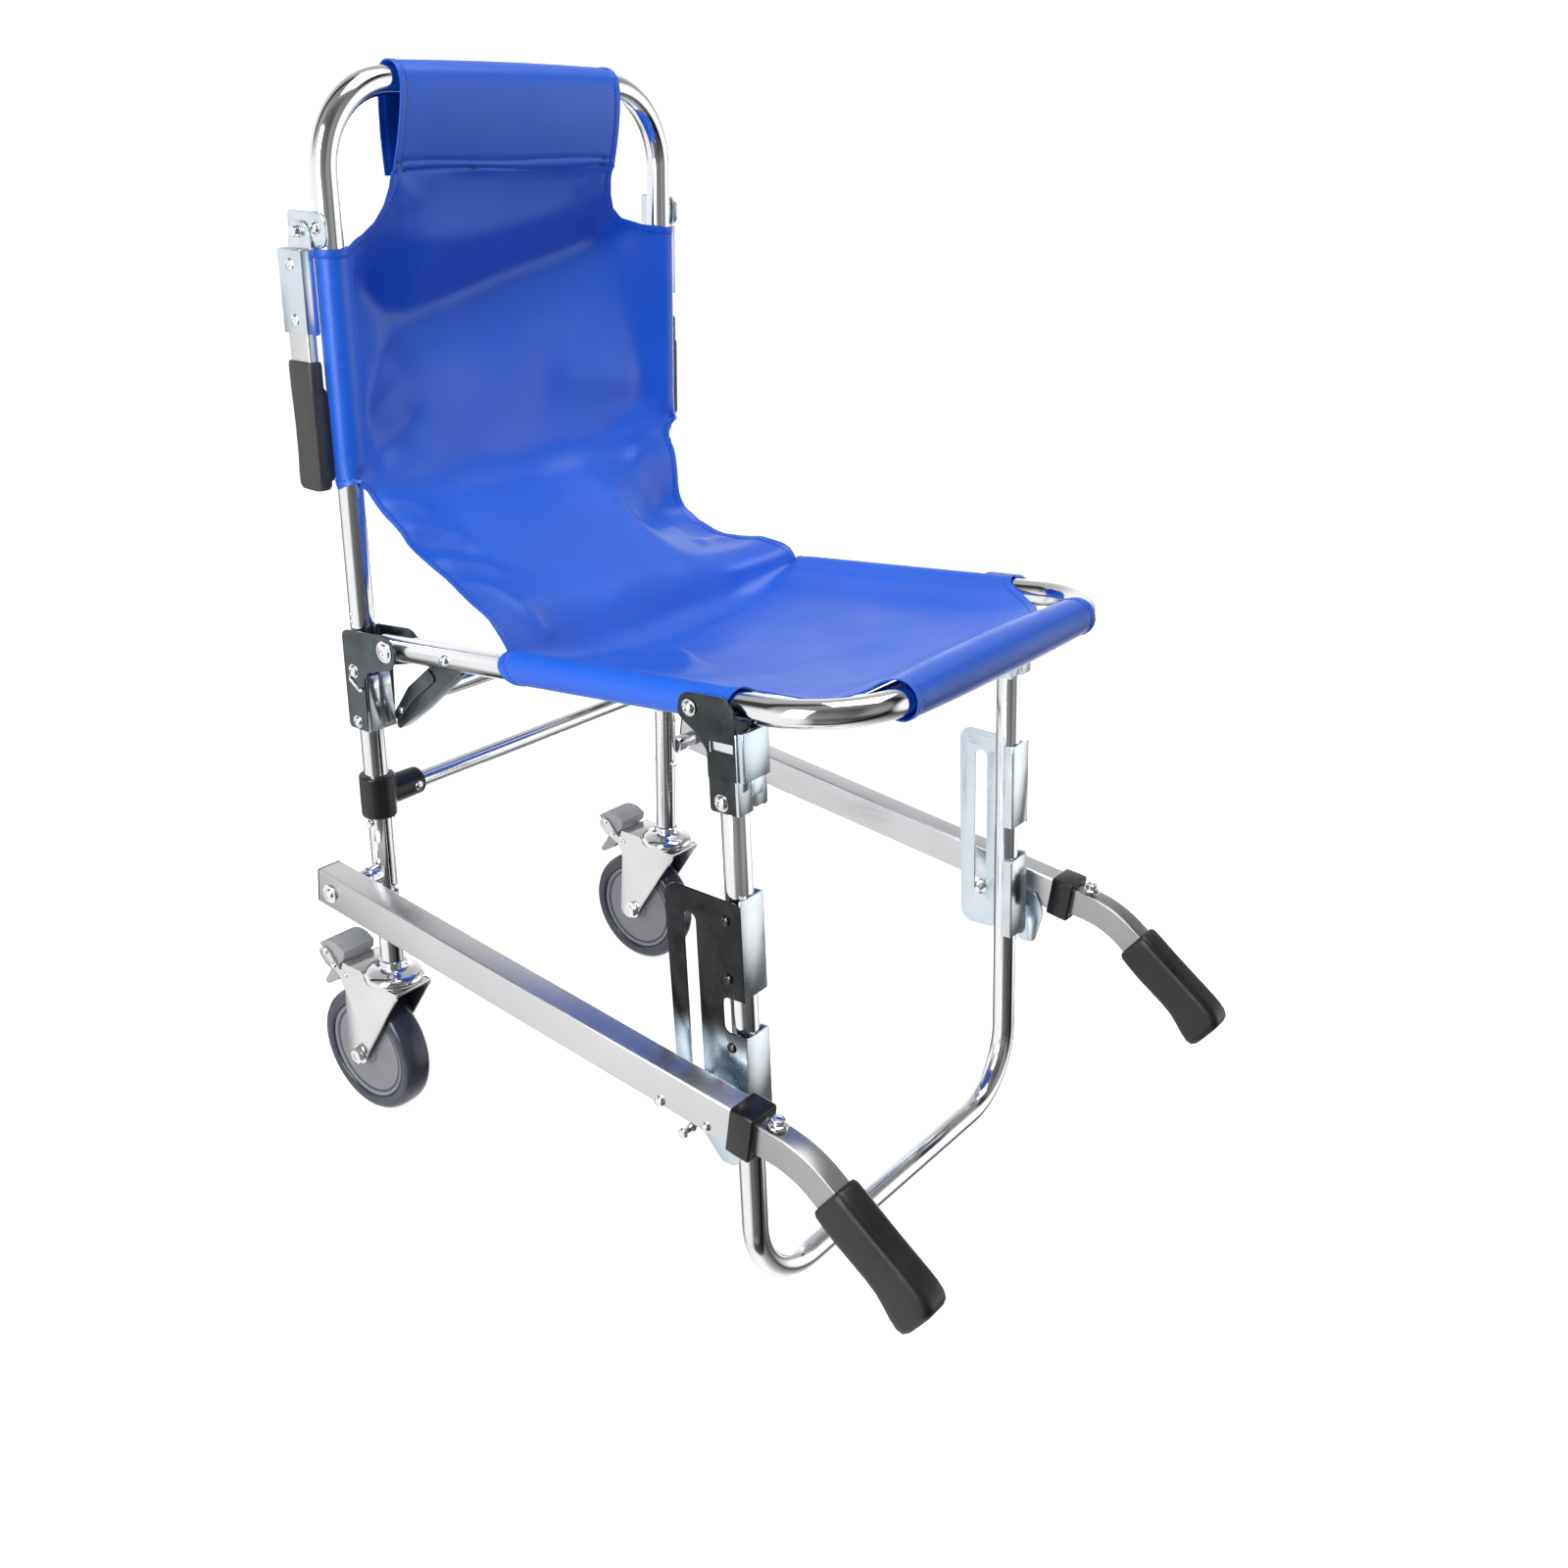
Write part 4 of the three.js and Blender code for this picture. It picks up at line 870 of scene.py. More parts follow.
# --------------------------------------------------------------------- castors
def castors():
    cup = turned([(0, 149.0), (24.5, 149.0), (26.6, 149.8), (28.2, 151.6), (28.4, 154.2),
                  (27.0, 157.4), (24.4, 159.4), (21.0, 160.4), (17.4, 161.0), (14.8, 162.2),
                  (13.2, 164.2), (12.7, 166.2), (13.4, 167.0), (13.4, 168.2), (12.6, 169.0),
                  (12.6, 170.0), (11.2, 170.7), (0, 170.7)], (POST_X, 0, 0), "Z", 64)
    pair("castor_cup_{}", cup, CHAIR, "bright", "back_frame", "castor_stem_{}", angle=60)
    top = 148.6
    cheek = rounded([(-27, top, 1.5), (-25, 142, 6), (20, 72, 12), (31, 53.5, 6), (42, 50.5, 9),
                     (52, 55, 8), (48.5, 126, 12), (54, 139, 8), (74, 147, 7), (84, 158, 5),
                     (76, 166, 5), (66, 160, 4), (58, 150, 6), (52, 147, 2), (48.5, 156.6, 1.6),
                     (22, 156.2, 3), (14, top, 4)], 6)
    s = stack(plate(cheek, POST_X + 18.5, POST_X + 21), plate(cheek, POST_X - 21, POST_X - 18.5),
              block(POST_X - 20.6, POST_X + 20.6, -27, 20, top - 2.6, top))
    # rear part of the top plate, raised where it is folded over the cheeks
    s.join(block(POST_X - 20.8, POST_X + 20.8, 24, 48.5, 154.4, 156.6))
    s.join(plate([(17, top - 2.4), (25, 154.6), (25, 156.5), (22, 156.2), (14, top)],
                 POST_X - 20.6, POST_X + 20.6))
    # rolled stiffening edge down the leading side of each cheek
    for side in (20.9, -20.9):
        edge = bent([(POST_X + side, -24.6, 143), (POST_X + side, 20.6, 72.6),
                     (POST_X + side, 27, 61)], 12, 5)
        s.join(sweep(edge, circle(0.9, 10)))
    pair("castor_yoke_{}", s, CHAIR, "zinc_warm", "castor_{}", "castor_fork_{}", bevel=0.7)
    # painted shade: a near-black disc fills the shaded room under the top plate, between the cheeks
    shade_disc = turned([(0, top - 8), (17, top - 8), (21, top - 5), (21, top - 2.5), (0, top - 2.5)],
                  (POST_X, 0, 0), "Z", 40)
    pair("castor_race_{}", shade_disc, CHAIR, "painted_shade_black", "castor_{}")
    ay, az = TRAIL, WHEEL_R
    hw = stack(
        rod(POST_X - 22, POST_X + 22, ay, az, 4.0),
        washer(POST_X + 21, POST_X + 22, ay, az, 9.6),
        hexagon(POST_X + 22, 1, ay, az, 8.2, 5.0),
        washer(POST_X - 22, POST_X - 21, ay, az, 9.6),
        hexagon(POST_X - 22, -1, ay, az, 8.2, 5.0, 0.5),
        rod(POST_X - 22.4, POST_X + 22.4, 62, 149, 2.7),
        dome(POST_X + 20.9, 1, 46, 144.3, 2.8, 1.3, True, 20),
        dome(POST_X - 20.9, -1, 46, 144.3, 2.8, 1.3, True, 20),
        dome(POST_X + 20.9, 1, 74, 160.5, 4.0, 1.8, True, 24),
        dome(POST_X - 20.9, -1, 74, 160.5, 4.0, 1.8, True, 24),
    )
    pair("castor_axle_{}", hw, CHAIR, "bright", "castor_{}")
    # wheel
    c = (POST_X, TRAIL, WHEEL_R)
    hub = [(4.3, -14.4), (9, -14.4), (12, -13.8), (13, -12.2), (15, -11.4), (40.5, -11.4),
           (42.2, -11.0), (43.0, -9.8), (43.8, -9.8), (44.4, -11.6), (46.2, -12.6), (47.4, -12.6),
           (47.8, -11.8)]
    pair("wheel_disc_{}", turned(both_ways(hub), c, "X", 96), CHAIR, "hub", "wheel_{}",
         "wheel_hub_{}", angle=30)
    tyre = [(48.0, -11.5), (49.0, -13.4), (50.5, -14.4), (53.5, -15.0), (56.5, -14.8), (59.2, -13.4),
            (61.0, -11.0), (62.0, -8.0), (62.4, -4.5)]
    tyre = turned(both_ways(tyre, [(WHEEL_R, 0)]), c, "X", 112, True)
    pair("wheel_tread_{}", tyre, CHAIR, "tyre", "wheel_{}", "wheel_tyre_{}", angle=50)
    lips = [turned([(42.0, h), (44.2, h), (44.2, h + 1.8), (42.0, h + 1.8)], c, "X", 96, True)
            for h in (-11.3, 9.5)]
    pair("wheel_lip_{}", stack(*lips), CHAIR, "tyre", "wheel_{}")
    pedals()


def pedals():
    # upper pad with grooves across, curved over the fork arms
    outline = []
    for k in range(19):
        t = k / 18
        z = 160.5 + 11.5 * math.sin(0.35 + 2.2 * t) + 0.55 * math.cos(2 * math.pi * 9 * t)
        outline.append((84.5 - 34 * t, min(z, 172.0)))
    outline += [(49.0, 166), (50.5, 158), (56, 152), (60, 147), (66, 149), (72, 156), (82, 160)]
    pad = plate(outline, POST_X - 17.8, POST_X + 17.8)
    lever = plate(rounded([(57, 150, 3), (61, 140, 5), (68, 128, 5), (86, 117, 2.5), (88, 122, 3),
                           (79, 134, 6), (74, 146, 5), (66, 152, 3)], 5),
                  POST_X - 13, POST_X + 13)
    s = combine(combine(pad, lever, how="UNION"), rod(POST_X - 30, POST_X + 30, 62, 149, 2.9))
    pair("pedal_{}", s, CHAIR, "grey_plastic", "brake_pedal_{}", "brake_pedal_{}", bevel=0.5, angle=32)


# ----------------------------------------------------------------------- sling
SLEEVE_R = TUBE_R + 1.4
CLOTH = 1.1                      # thickness of the coated fabric
HEM = 6.3                        # the hem is sewn this far from the edge
SEAM_END = 128.0                 # the sewn rows end this far from the middle
THREAD_R = 0.42
WRAP_FROM = 197.0                # beyond this from the middle the sheet follows the tube
HANG_HALF = 176.0                # half width of the part that sags between the tubes
FREE_HALF = 192.0                # the same where the edge hangs free


def seat_point(reach, n=0.0):
    """(y, z) of a point of the seat: reach along the tubes, n above their axes."""
    c, s = math.cos(SEAT_TILT), math.sin(SEAT_TILT)
    return (SEAT_PIVOT[0] - reach * c + n * s, SEAT_PIVOT[1] + reach * s + n * c)


def smooth(a, b, x):
    t = np.clip((np.asarray(x, float) - a) / (b - a), 0.0, 1.0)
    return t * t * (3 - 2 * t)


def curve(xs, ys, x):
    """Cubic through the knots (xs, ys); ys may have several columns."""
    xs, ys = np.asarray(xs, float), np.asarray(ys, float)
    flat = ys.ndim == 1
    if flat:
        ys = ys[:, None]
    h = np.diff(xs)
    d = np.diff(ys, axis=0) / h[:, None]
    m = np.zeros_like(ys)
    m[1:-1] = (d[:-1] * h[1:, None] + d[1:] * h[:-1, None]) / (h[1:] + h[:-1])[:, None]
    m[0], m[-1] = d[0], d[-1]
    x = np.clip(np.atleast_1d(np.asarray(x, float)), xs[0], xs[-1])
    i = np.clip(np.searchsorted(xs, x, side="right") - 1, 0, len(h) - 1)
    t = ((x - xs[i]) / h[i])[:, None]
    hh = h[i][:, None]
    out = ((2 * t ** 3 - 3 * t ** 2 + 1) * ys[i] + (t ** 3 - 2 * t ** 2 + t) * hh * m[i]
           + (-2 * t ** 3 + 3 * t ** 2) * ys[i + 1] + (t ** 3 - t ** 2) * hh * m[i + 1])
    return out[:, 0] if flat else out


def lengths(points):
    """Distance of every point of a polyline from its start, measured along it."""
    return np.r_[0, np.cumsum(np.hypot(*np.diff(points, axis=0).T))]


def unit(rows):
    return rows / np.maximum(np.linalg.norm(rows, axis=1), 1e-9)[:, None]


def edges(ring):
    """The edges of a closed ring as pairs of points."""
    return zip(ring, np.roll(ring, -1, axis=0))


class Sling:
    """Maps the flat cut of the sling, (across, along) in mm, to its hung shape."""

    def __init__(self):
        r = SLEEVE_R
        knots = [(2.6, 848), (5.5, 862), (9.5, 884), (r, 903)]
        knots += [(r * math.cos(math.pi * k / 10), TOP_Z + r * math.sin(math.pi * k / 10))
                  for k in range(11)]
        knots += [(-r + 0.3, 903), (-9.6, 884), (-6.2, 866)]
        self.top_seam = len(knots)
        knots += [(-3.4, 852), (-1.6, 838), (-0.4, 820)]
        knots += [(0, 800), (0, 770), (0, 730), (0, 690), (0, 655), (0, 632), (-2.5, 614)]
        last_back = len(knots)
        knots += [(-11, 602), (-25, 593), (-42, 583), (-59, 572), (-78, 561), (-99, 550),
                  (-119, 541), (-137, 531), (-151, 519), (-162, 506)]
        first_seat = len(knots)
        reaches = [128, 145, 170, 210, 250, 290, 330, 360, 390, 412, 426]
        knots += [seat_point(q) for q in reaches]
        self.front_seam = len(knots) - 1
        knots += [seat_point(438, 3.4), seat_point(449, 9.0)]
        knots += [seat_point(SEAT_REACH + r * math.sin(math.pi * k / 10),
                             r * math.cos(math.pi * k / 10)) for k in range(11)]
        knots += [seat_point(449, -9.6), seat_point(438, -5.4), seat_point(426, -2.0)]
        knots = np.array(knots, float)
        step = lengths(knots)
        fine = np.arange(0, step[-1], 1.0)
        line = curve(step, knots, fine)
        self.b = lengths(line)
        self.knot_b = np.interp(step, fine, self.b)
        self.line = line
        tangent = np.gradient(line, self.b, axis=0)
        for _ in range(4):
            tangent[1:-1] = (tangent[:-2] + 2 * tangent[1:-1] + tangent[2:]) / 4
        tangent /= np.linalg.norm(tangent, axis=1)[:, None]
        self.normal = np.c_[tangent[:, 1], -tangent[:, 0]]
        self.length = float(self.b[-1])
        back = slice(self.top_seam, last_back)
        self._z = (knots[back, 1][::-1], self.knot_b[back][::-1])
        seat = slice(first_seat, self.front_seam + 1)
        self._reach = (np.array(reaches, float), self.knot_b[seat])
        kb = self.knot_b
        z = self.at_z
        q = self.at_reach
        f0, f1 = kb[last_back], kb[first_seat - 1]
        self.free = (z(616), q(126))
        self.soft = ([0, f1 - 30, q(128), q(400), self.length], [0, 0, 5.5, 5.5, 0])
        # the far side hangs lower where the back turns into the seat
        self.slack = ([0, f0 - 8, f0 + 17, f0 + 35, f0 + 57, f0 + 76, f0 + 95, f0 + 125,
                       f1 - 22, f1 - 4, self.length],
                      [0, 0, -16, -34, -46, -47, -42, -30, -10, 0, 0])
        # how far the middle of the sheet hangs behind or below its supports
        self.sag = ([0, z(852), z(820), z(785), z(735), z(690), z(650), f0 + 16, f0 + 70, f1 - 45,
                     q(128), q(170), q(230), q(300), q(360), q(400), q(426), self.length],
                    [0, 0, -6, -13, -18, -18, -17, -16, -16, -19,
                     -23, -26, -26, -23, -18, -10, 0, 0])
        self.wrap = ([0, z(838), z(806), z(640), z(614) + 4, q(112), q(134), q(372), q(412), self.length],
                     [0, 0, 1, 1, 0, 0, 1, 1, 0, 0])
        self.edge = ([0, z(845), z(800), z(628), f0 + 14, f0 + 55, f1 - 40, f1 - 6, q(134), q(372),
                      q(420), self.length],
                     [0, 0, 10, 10, 6, 0, 0, 5, 10, 10, 0, 0])
        pts = [(0, 0), (60, 0), (120, 0), (150, -0.6), (163, -0.4), (172, 1.2), (178, 4.0), (181, 6.2)]
        pts += [(POST_X + r * math.cos(t), r * math.sin(t))
                for t in np.radians(np.linspace(138, -140, 23))]
        pts += [(178, -9.6), (172, -10.6), (164, -11.0)]
        pts = np.array(pts, float)
        s = lengths(pts)
        ss = np.arange(0, s[-1], 0.5)
        sec = curve(s, pts, ss)
        self.sec_a = lengths(sec)
        self.sec = sec
        self.width = float(self.sec_a[-1])

    def at_z(self, value):
        return float(np.interp(value, *self._z))

    def at_reach(self, value):
        return float(np.interp(value, *self._reach))

    def place(self, a, b):
        a, b = np.asarray(a, float), np.asarray(b, float)
        side, t = np.sign(a), np.abs(a)
        oy, oz = np.interp(b, self.b, self.line[:, 0]), np.interp(b, self.b, self.line[:, 1])
        ny, nz = np.interp(b, self.b, self.normal[:, 0]), np.interp(b, self.b, self.normal[:, 1])
        sag = curve(*self.sag, b)
        w = smooth(0, 1, np.interp(b, *self.wrap))
        w = np.where(t > WRAP_FROM, 1.0, w)
        edge = np.interp(b, *self.edge)
        xw, nw = np.interp(t, self.sec_a, self.sec[:, 0]), np.interp(t, self.sec_a, self.sec[:, 1])
        hang = np.clip(1 - (t / HANG_HALF) ** 2, 0, 1) ** 0.85
        nf = edge * smooth(110, 190, t)
        hang_f = np.clip(1 - (t / FREE_HALF) ** 2, 0, 1)
        # over the seat tubes the cloth runs off the top of the tube without a step
        nw = nw + np.interp(b, *self.soft) * np.exp(-((t - 163) / 21.0) ** 2) * (t < WRAP_FROM)
        x = w * xw + (1 - w) * t * 0.995
        n = w * (nw + sag * hang) + (1 - w) * (nf + sag * hang_f)
        n = n + (1 - w) * np.interp(b, *self.slack) * smooth(70, 188, a)
        return np.c_[side * x, oy + ny * n, oz + nz * n]

    def normals(self, a, b, h=1.5):
        u = self.place(a + h, b) - self.place(a - h, b)
        v = self.place(a, b + h) - self.place(a, b - h)
        return unit(np.cross(v, u))

    # the flat cut -------------------------------------------------------------
    def outline(self):
        z, q, w = self.at_z, self.at_reach, self.width
        half = [(131.5, 0), (128, 30), (123.5, 56), (122.5, 74), (125, 100), (129, z(872)), (130, z(852)),
                (131.5, z(840)), (136, z(825)), (143.5, z(812.5)), (155, z(804)), (170, z(799.5)),
                (184, z(797.5)), (198, z(796.5)), (w, z(796)),
                (w, z(640)), (w, z(616)), (215, z(614) + 3), (199, z(614) + 6), (191, self.free[0] + 15)]
        f0, f1 = self.free
        span = f1 - f0
        for k in range(1, 41):
            t = k / 41
            b = f0 + 15 + (span - 15) * t
            wave = 2.6 * abs(math.sin(math.pi * 3.6 * t + 0.3)) - 1.2
            half.append((189.5 + wave, b))
        half += [(191, q(127)), (198, q(130)), (212, q(135)), (232, q(146)), (w, q(158)),
                 (w, q(352)), (226, q(362)), (206, q(367)), (192, q(369)), (184, q(372)),
                 (178, q(378)), (170, q(391)), (161, q(404)), (150, q(415)), (140, q(422)),
                 (134, self.knot_b[self.front_seam] + 6),
                 (133, self.knot_b[self.front_seam] + 24), (133.5, self.length - 34),
                 (132, self.length - 10), (127, self.length)]
        right = np.array(half, float)
        left = right[::-1].copy()
        left[:, 0] *= -1
        ring = np.r_[right, left]
        out = []
        for p, p2 in edges(ring):
            n = max(1, int(np.hypot(*(p2 - p)) / 3.5))
            for k in range(n):
                out.append(p + (p2 - p) * k / n)
        return np.array(out)


# A fold is its height, its width on the upper and the lower side, the breadth of its crest and
# how early it fades at its ends, then the points it runs through: (across, place along the
# sheet), where a third number moves the point further along.
BACK_FOLDS = (                   # places are heights over the floor
    # swag that hangs between the shoulders
    (-26.0, 38, 32, 9, 0.16, (-176, 800), (-140, 764), (-98, 734), (-40, 742), (15, 754),
     (95, 773), (160, 790), (188, 800)),
    (5.0, 24, 16, 7, 0.3, (-150, 806), (-100, 798), (-30, 796), (50, 806), (110, 826)),
    # facet beside the near post, from the low point of the swag to the lower corner
    (-13.0, 22, 46, 5, 0.3, (-92, 728), (-124, 706), (-148, 676), (-164, 644), (-170, 626)),
    (-5.5, 13, 18, 3, 0.3, (-88, 672), (-112, 652), (-148, 632), (-178, 613)),
    (3.0, 10, 10, 3, 0.35, (-104, 694), (-138, 670), (-164, 642)),
    (4.6, 8, 12, 2.5, 0.35, (-184, 614, 6), (-150, 616), (-110, 618), (-70, 622)),
    # far side: soft hollow beside the lower end of the sleeve
    (5.0, 22, 24, 7, 0.3, (186, 668), (150, 660), (95, 668), (40, 672)),
)
TURN_FOLDS = (                   # places are counted from the start of the free edge
    # puckers of the far side
    (-12.0, 38, 15, 4, 0.3, (190, 62), (150, 70), (108, 84), (70, 92)),
    (3.0, 9, 12, 3, 0.3, (188, 20), (156, 22), (128, 30)),
    (3.5, 8, 12, 3, 0.3, (190, 96), (150, 96), (116, 108)),
    (4.5, 8, 9, 3, 0.3, (190, 130), (158, 126), (126, 132)),
    # puckers of the near side
    (4.0, 8, 9, 2.5, 0.3, (-190, 26), (-160, 30), (-126, 42)),
    (3.4, 9, 11, 2.5, 0.3, (-190, 56), (-156, 62), (-112, 80)),
    (-3.4, 9, 9, 3, 0.3, (-190, 76), (-152, 84), (-116, 100)),
    (5.5, 8, 12, 2.5, 0.3, (-192, 98), (-156, 104), (-110, 120)),
)
SEAT_FOLDS = (                   # places are reaches along the seat tubes
    # broad swells of the seat
    (4.5, 34, 40, 14, 0.35, (-150, 150), (-90, 185), (-20, 205), (60, 190), (140, 160)),
    # crescent fold near the middle of the seat
    (8.0, 9, 26, 3, 0.35, (-56, 150), (-58, 192), (-82, 228), (-112, 240)),
    (2.8, 24, 30, 12, 0.35, (-165, 300), (-110, 285), (-40, 310)),
    (-3.4, 30, 24, 12, 0.35, (-150, 385), (-60, 372), (40, 378), (150, 380)),
    (2.2, 26, 22, 10, 0.35, (120, 260), (60, 300), (10, 340)),
)


def ridge(a, b, line, amp, upper, lower, crest, fade):
    """A fold along a polyline: a crest that falls off differently on its two sides."""
    line = np.array(line, float)
    seg = lengths(line)
    n = max(8, int(seg[-1] / 6))
    fine = curve(seg, line, np.linspace(0, seg[-1], n))
    best = np.full(a.shape, 1e9)
    sign = np.zeros(a.shape)
    where = np.zeros(a.shape)
    for k in range(n - 1):
        p, d = fine[k], fine[k + 1] - fine[k]
        length = max(np.hypot(*d), 1e-6)
        t = np.clip(((a - p[0]) * d[0] + (b - p[1]) * d[1]) / length ** 2, 0, 1)
        dx, dy = a - p[0] - t * d[0], b - p[1] - t * d[1]
        dist = np.hypot(dx, dy)
        nearer = dist < best
        best = np.where(nearer, dist, best)
        sign = np.where(nearer, np.sign(d[0] * dy - d[1] * dx), sign)
        where = np.where(nearer, (k + t) / (n - 1), where)
    width = np.where(sign < 0, upper, lower)
    fall = np.exp(-(np.sqrt(best ** 2 + crest ** 2) - crest) / width)
    taper = smooth(0, fade, where) * smooth(0, fade, 1 - where)
    return amp * fall * (0.12 + 0.88 * taper)


def folds(s, a, b):
    """Height of the folds and puckers over the smooth sheet, towards the sitter."""
    z, q = s.at_z, s.at_reach
    f0, f1 = s.free
    h = np.zeros(a.shape)
    for place, table in ((z, BACK_FOLDS), (lambda v: f0 + v, TURN_FOLDS), (q, SEAT_FOLDS)):
        for amp, upper, lower, crest, fade, *points in table:
            line = [(p[0], place(p[1]) + sum(p[2:])) for p in points]
            h += ridge(a, b, line, amp, upper, lower, crest, fade)
    h += ridge(a, b, [(-190, f0 + 130), (-160, f0 + 136), (-128, q(118))], 4.0, 8, 10, 3, 0.3)
    # soft fold where the back turns into the seat
    mid = f0 + 0.62 * (f1 - f0)
    h -= ridge(a, b, [(-165, mid - 6), (-60, mid), (40, mid + 2), (160, mid + 2)], 4.5, 30, 34, 14, 0.25)
    # fans of small pulls at the ends of the top seam and of the front seam
    for x0, dx, dz in ((-128, 34, -26), (-124, 10, -34), (118, -30, -22), (124, -8, -34)):
        h += ridge(a, b, [(x0, z(850)), (x0 + dx * 0.5, z(850 + dz * 0.5)), (x0 + dx, z(850 + dz))],
                   1.4, 4.5, 5.5, 2, 0.3)
    for x0, dx in ((-126, 18), (126, -18), (-95, 6), (95, -6)):
        h += ridge(a, b, [(x0, q(424)), (x0 + dx * 0.6, q(408)), (x0 + dx, q(392))], 1.6, 5, 6, 2, 0.3)
    # gentle unevenness
    h += 0.7 * np.sin(a / 31.0 + 0.6) * np.sin(b / 43.0) + 0.5 * np.sin(a / 17.0 + b / 29.0 + 1.0)
    # nothing moves where the sheet lies on a tube
    post = (1 - smooth(f0 + 8, f0 + 34, b)) * smooth(z(838), z(806), b)
    calm = 1 - smooth(150, 181, np.abs(a)) * np.maximum(np.interp(b, *s.wrap), post)
    sleeve = smooth(z(870), z(846), b) * (1 - smooth(q(410), q(426), b))
    return h * calm * sleeve


def nearest(ring, a, b):
    """Distance of points from a closed ring."""
    best = np.full(a.shape, 1e9)
    for p, p2 in edges(ring):
        d = p2 - p
        t = np.clip(((a - p[0]) * d[0] + (b - p[1]) * d[1]) / max(d @ d, 1e-9), 0, 1)
        best = np.minimum(best, np.hypot(a - p[0] - t * d[0], b - p[1] - t * d[1]))
    return best


def inside(ring, a, b):
    hit = np.zeros(a.shape, bool)
    for p, p2 in edges(ring):
        cross = (p[1] > b) != (p2[1] > b)
        with np.errstate(divide="ignore", invalid="ignore"):
            x = p[0] + (b - p[1]) * (p2[0] - p[0]) / (p2[1] - p[1])
        hit ^= cross & (a < x)
    return hit


def inward(ring, reach):
    """The ring moved inwards, without the points that end up nearer the edge than that."""
    d = unit(np.roll(ring, -1, axis=0) - np.roll(ring, 1, axis=0))
    moved = ring + reach * np.c_[-d[:, 1], d[:, 0]]
    if not inside(ring, moved[:1, 0], moved[:1, 1])[0]:
        moved = ring - reach * np.c_[-d[:, 1], d[:, 0]]
    ok = inside(ring, moved[:, 0], moved[:, 1]) & (nearest(ring, *moved.T) > reach - 0.25)
    return moved, ok


SEAM_WAVE = 1.3


def seam_line(s, which, a):
    """Where a seam runs across the cut: the two rows under the top sleeve, then the front row."""
    top, front = s.knot_b[s.top_seam], s.knot_b[s.front_seam]
    return (top + SEAM_WAVE * np.sin(a / 34.0 + 0.4),
            top - 7.2 + 0.8 * np.sin(a / 27.0 + 2.0),
            front + 0.9 * np.sin(a / 30.0))[which]


def cloth_mesh(s):
    """Points of the flat cut and the triangles between them."""
    ring = s.outline()
    groups = [ring]
    for reach in (2.6, 5.2, HEM, 7.4):
        moved, ok = inward(ring, reach)
        groups.append(moved[ok])
    rows = []
    across = np.arange(2 - SEAM_END, SEAM_END - 1.5, 3.0)
    for which in range(3):
        for off in (-2.6, -1.2, 0.0, 1.2, 2.6):
            rows.append(np.c_[across, seam_line(s, which, across) + off])
    rows = np.concatenate(rows)
    rows = rows[inside(ring, *rows.T)]
    rows = rows[nearest(ring, *rows.T) > 9.0]
    groups.append(rows)
    pitch = 4.2
    ga, gb = np.meshgrid(np.arange(-s.width, s.width, pitch), np.arange(0, s.length, pitch))
    ga = ga + (np.arange(ga.shape[0]) % 2)[:, None] * pitch / 2
    ga, gb = ga.ravel(), gb.ravel()
    keep = inside(ring, ga, gb)
    ga, gb = ga[keep], gb[keep]
    for which in range(3):
        off = np.abs(gb - seam_line(s, which, ga))
        keep = (off > 4.2) | (np.abs(ga) > SEAM_END)
        ga, gb = ga[keep], gb[keep]
    gap = nearest(ring, ga, gb)
    groups.append(np.c_[ga, gb][gap > 9.6])
    pts = np.concatenate(groups)
    res = delaunay_2d_cdt([Vector(p) for p in pts], [], [list(range(len(ring)))], 1, 1e-5)
    flat = np.array([(v.x, v.y) for v in res[0]])
    return ring, flat[:, 0], flat[:, 1], [tuple(f) for f in res[2]]


def relief(s, ring, a, b):
    """Folds, turned hems and sewn grooves, as a height above the plain sheet."""
    edge = nearest(ring, a, b)
    lift = folds(s, a, b) + 0.7 * (1 - smooth(5.6, 7.4, edge)) - 0.5 * np.exp(-((edge - HEM) / 0.8) ** 2)
    for which, depth in enumerate((1.3, 0.9, 1.2)):
        off = b - seam_line(s, which, a)
        lift -= depth * np.exp(-(off / 1.3) ** 2) * (np.abs(a) < SEAM_END)
    # the cloth swells a little between and beside the two rows
    mid = b - seam_line(s, 0, a) + 3.6
    lift += 0.7 * np.exp(-(mid / 2.2) ** 2) * (np.abs(a) < SEAM_END)
    return lift


def stitches(s, ring, runs):
    """Thread along runs of points in the flat cut, one small capsule per stitch."""
    starts, ends = [], []
    for run, length, gap in runs:
        run = np.array(run, float)
        seg = lengths(run)
        at = np.arange(1.0, seg[-1] - length, length + gap)
        for t in at:
            starts.append([np.interp(t, seg, run[:, 0]), np.interp(t, seg, run[:, 1])])
            ends.append([np.interp(t + length, seg, run[:, 0]),
                         np.interp(t + length, seg, run[:, 1])])
    starts, ends = np.array(starts), np.array(ends)
    both = np.r_[starts, ends]
    n = s.normals(both[:, 0], both[:, 1])
    xyz = s.place(both[:, 0], both[:, 1]) + n * (relief(s, ring, *both.T) + 0.62)[:, None]
    k = len(starts)
    p, q, up = xyz[:k], xyz[k:], n[:k]
    side = np.cross(unit(q - p), up)
    shape = Shape()
    for i in range(k):
        v = [p[i] - 0.25 * up[i]]
        for at in (0.22, 0.78):
            c = p[i] + (q[i] - p[i]) * at
            v += [c + x * side[i] + y * up[i] for x, y in circle(THREAD_R, 5)]
        v.append(q[i] - 0.25 * up[i])
        f = []
        for j in range(5):
            m = (j + 1) % 5
            f += [(0, 1 + m, 1 + j), (1 + j, 1 + m, 6 + m, 6 + j), (6 + j, 6 + m, 11)]
        shape.add(v, f)
    return shape


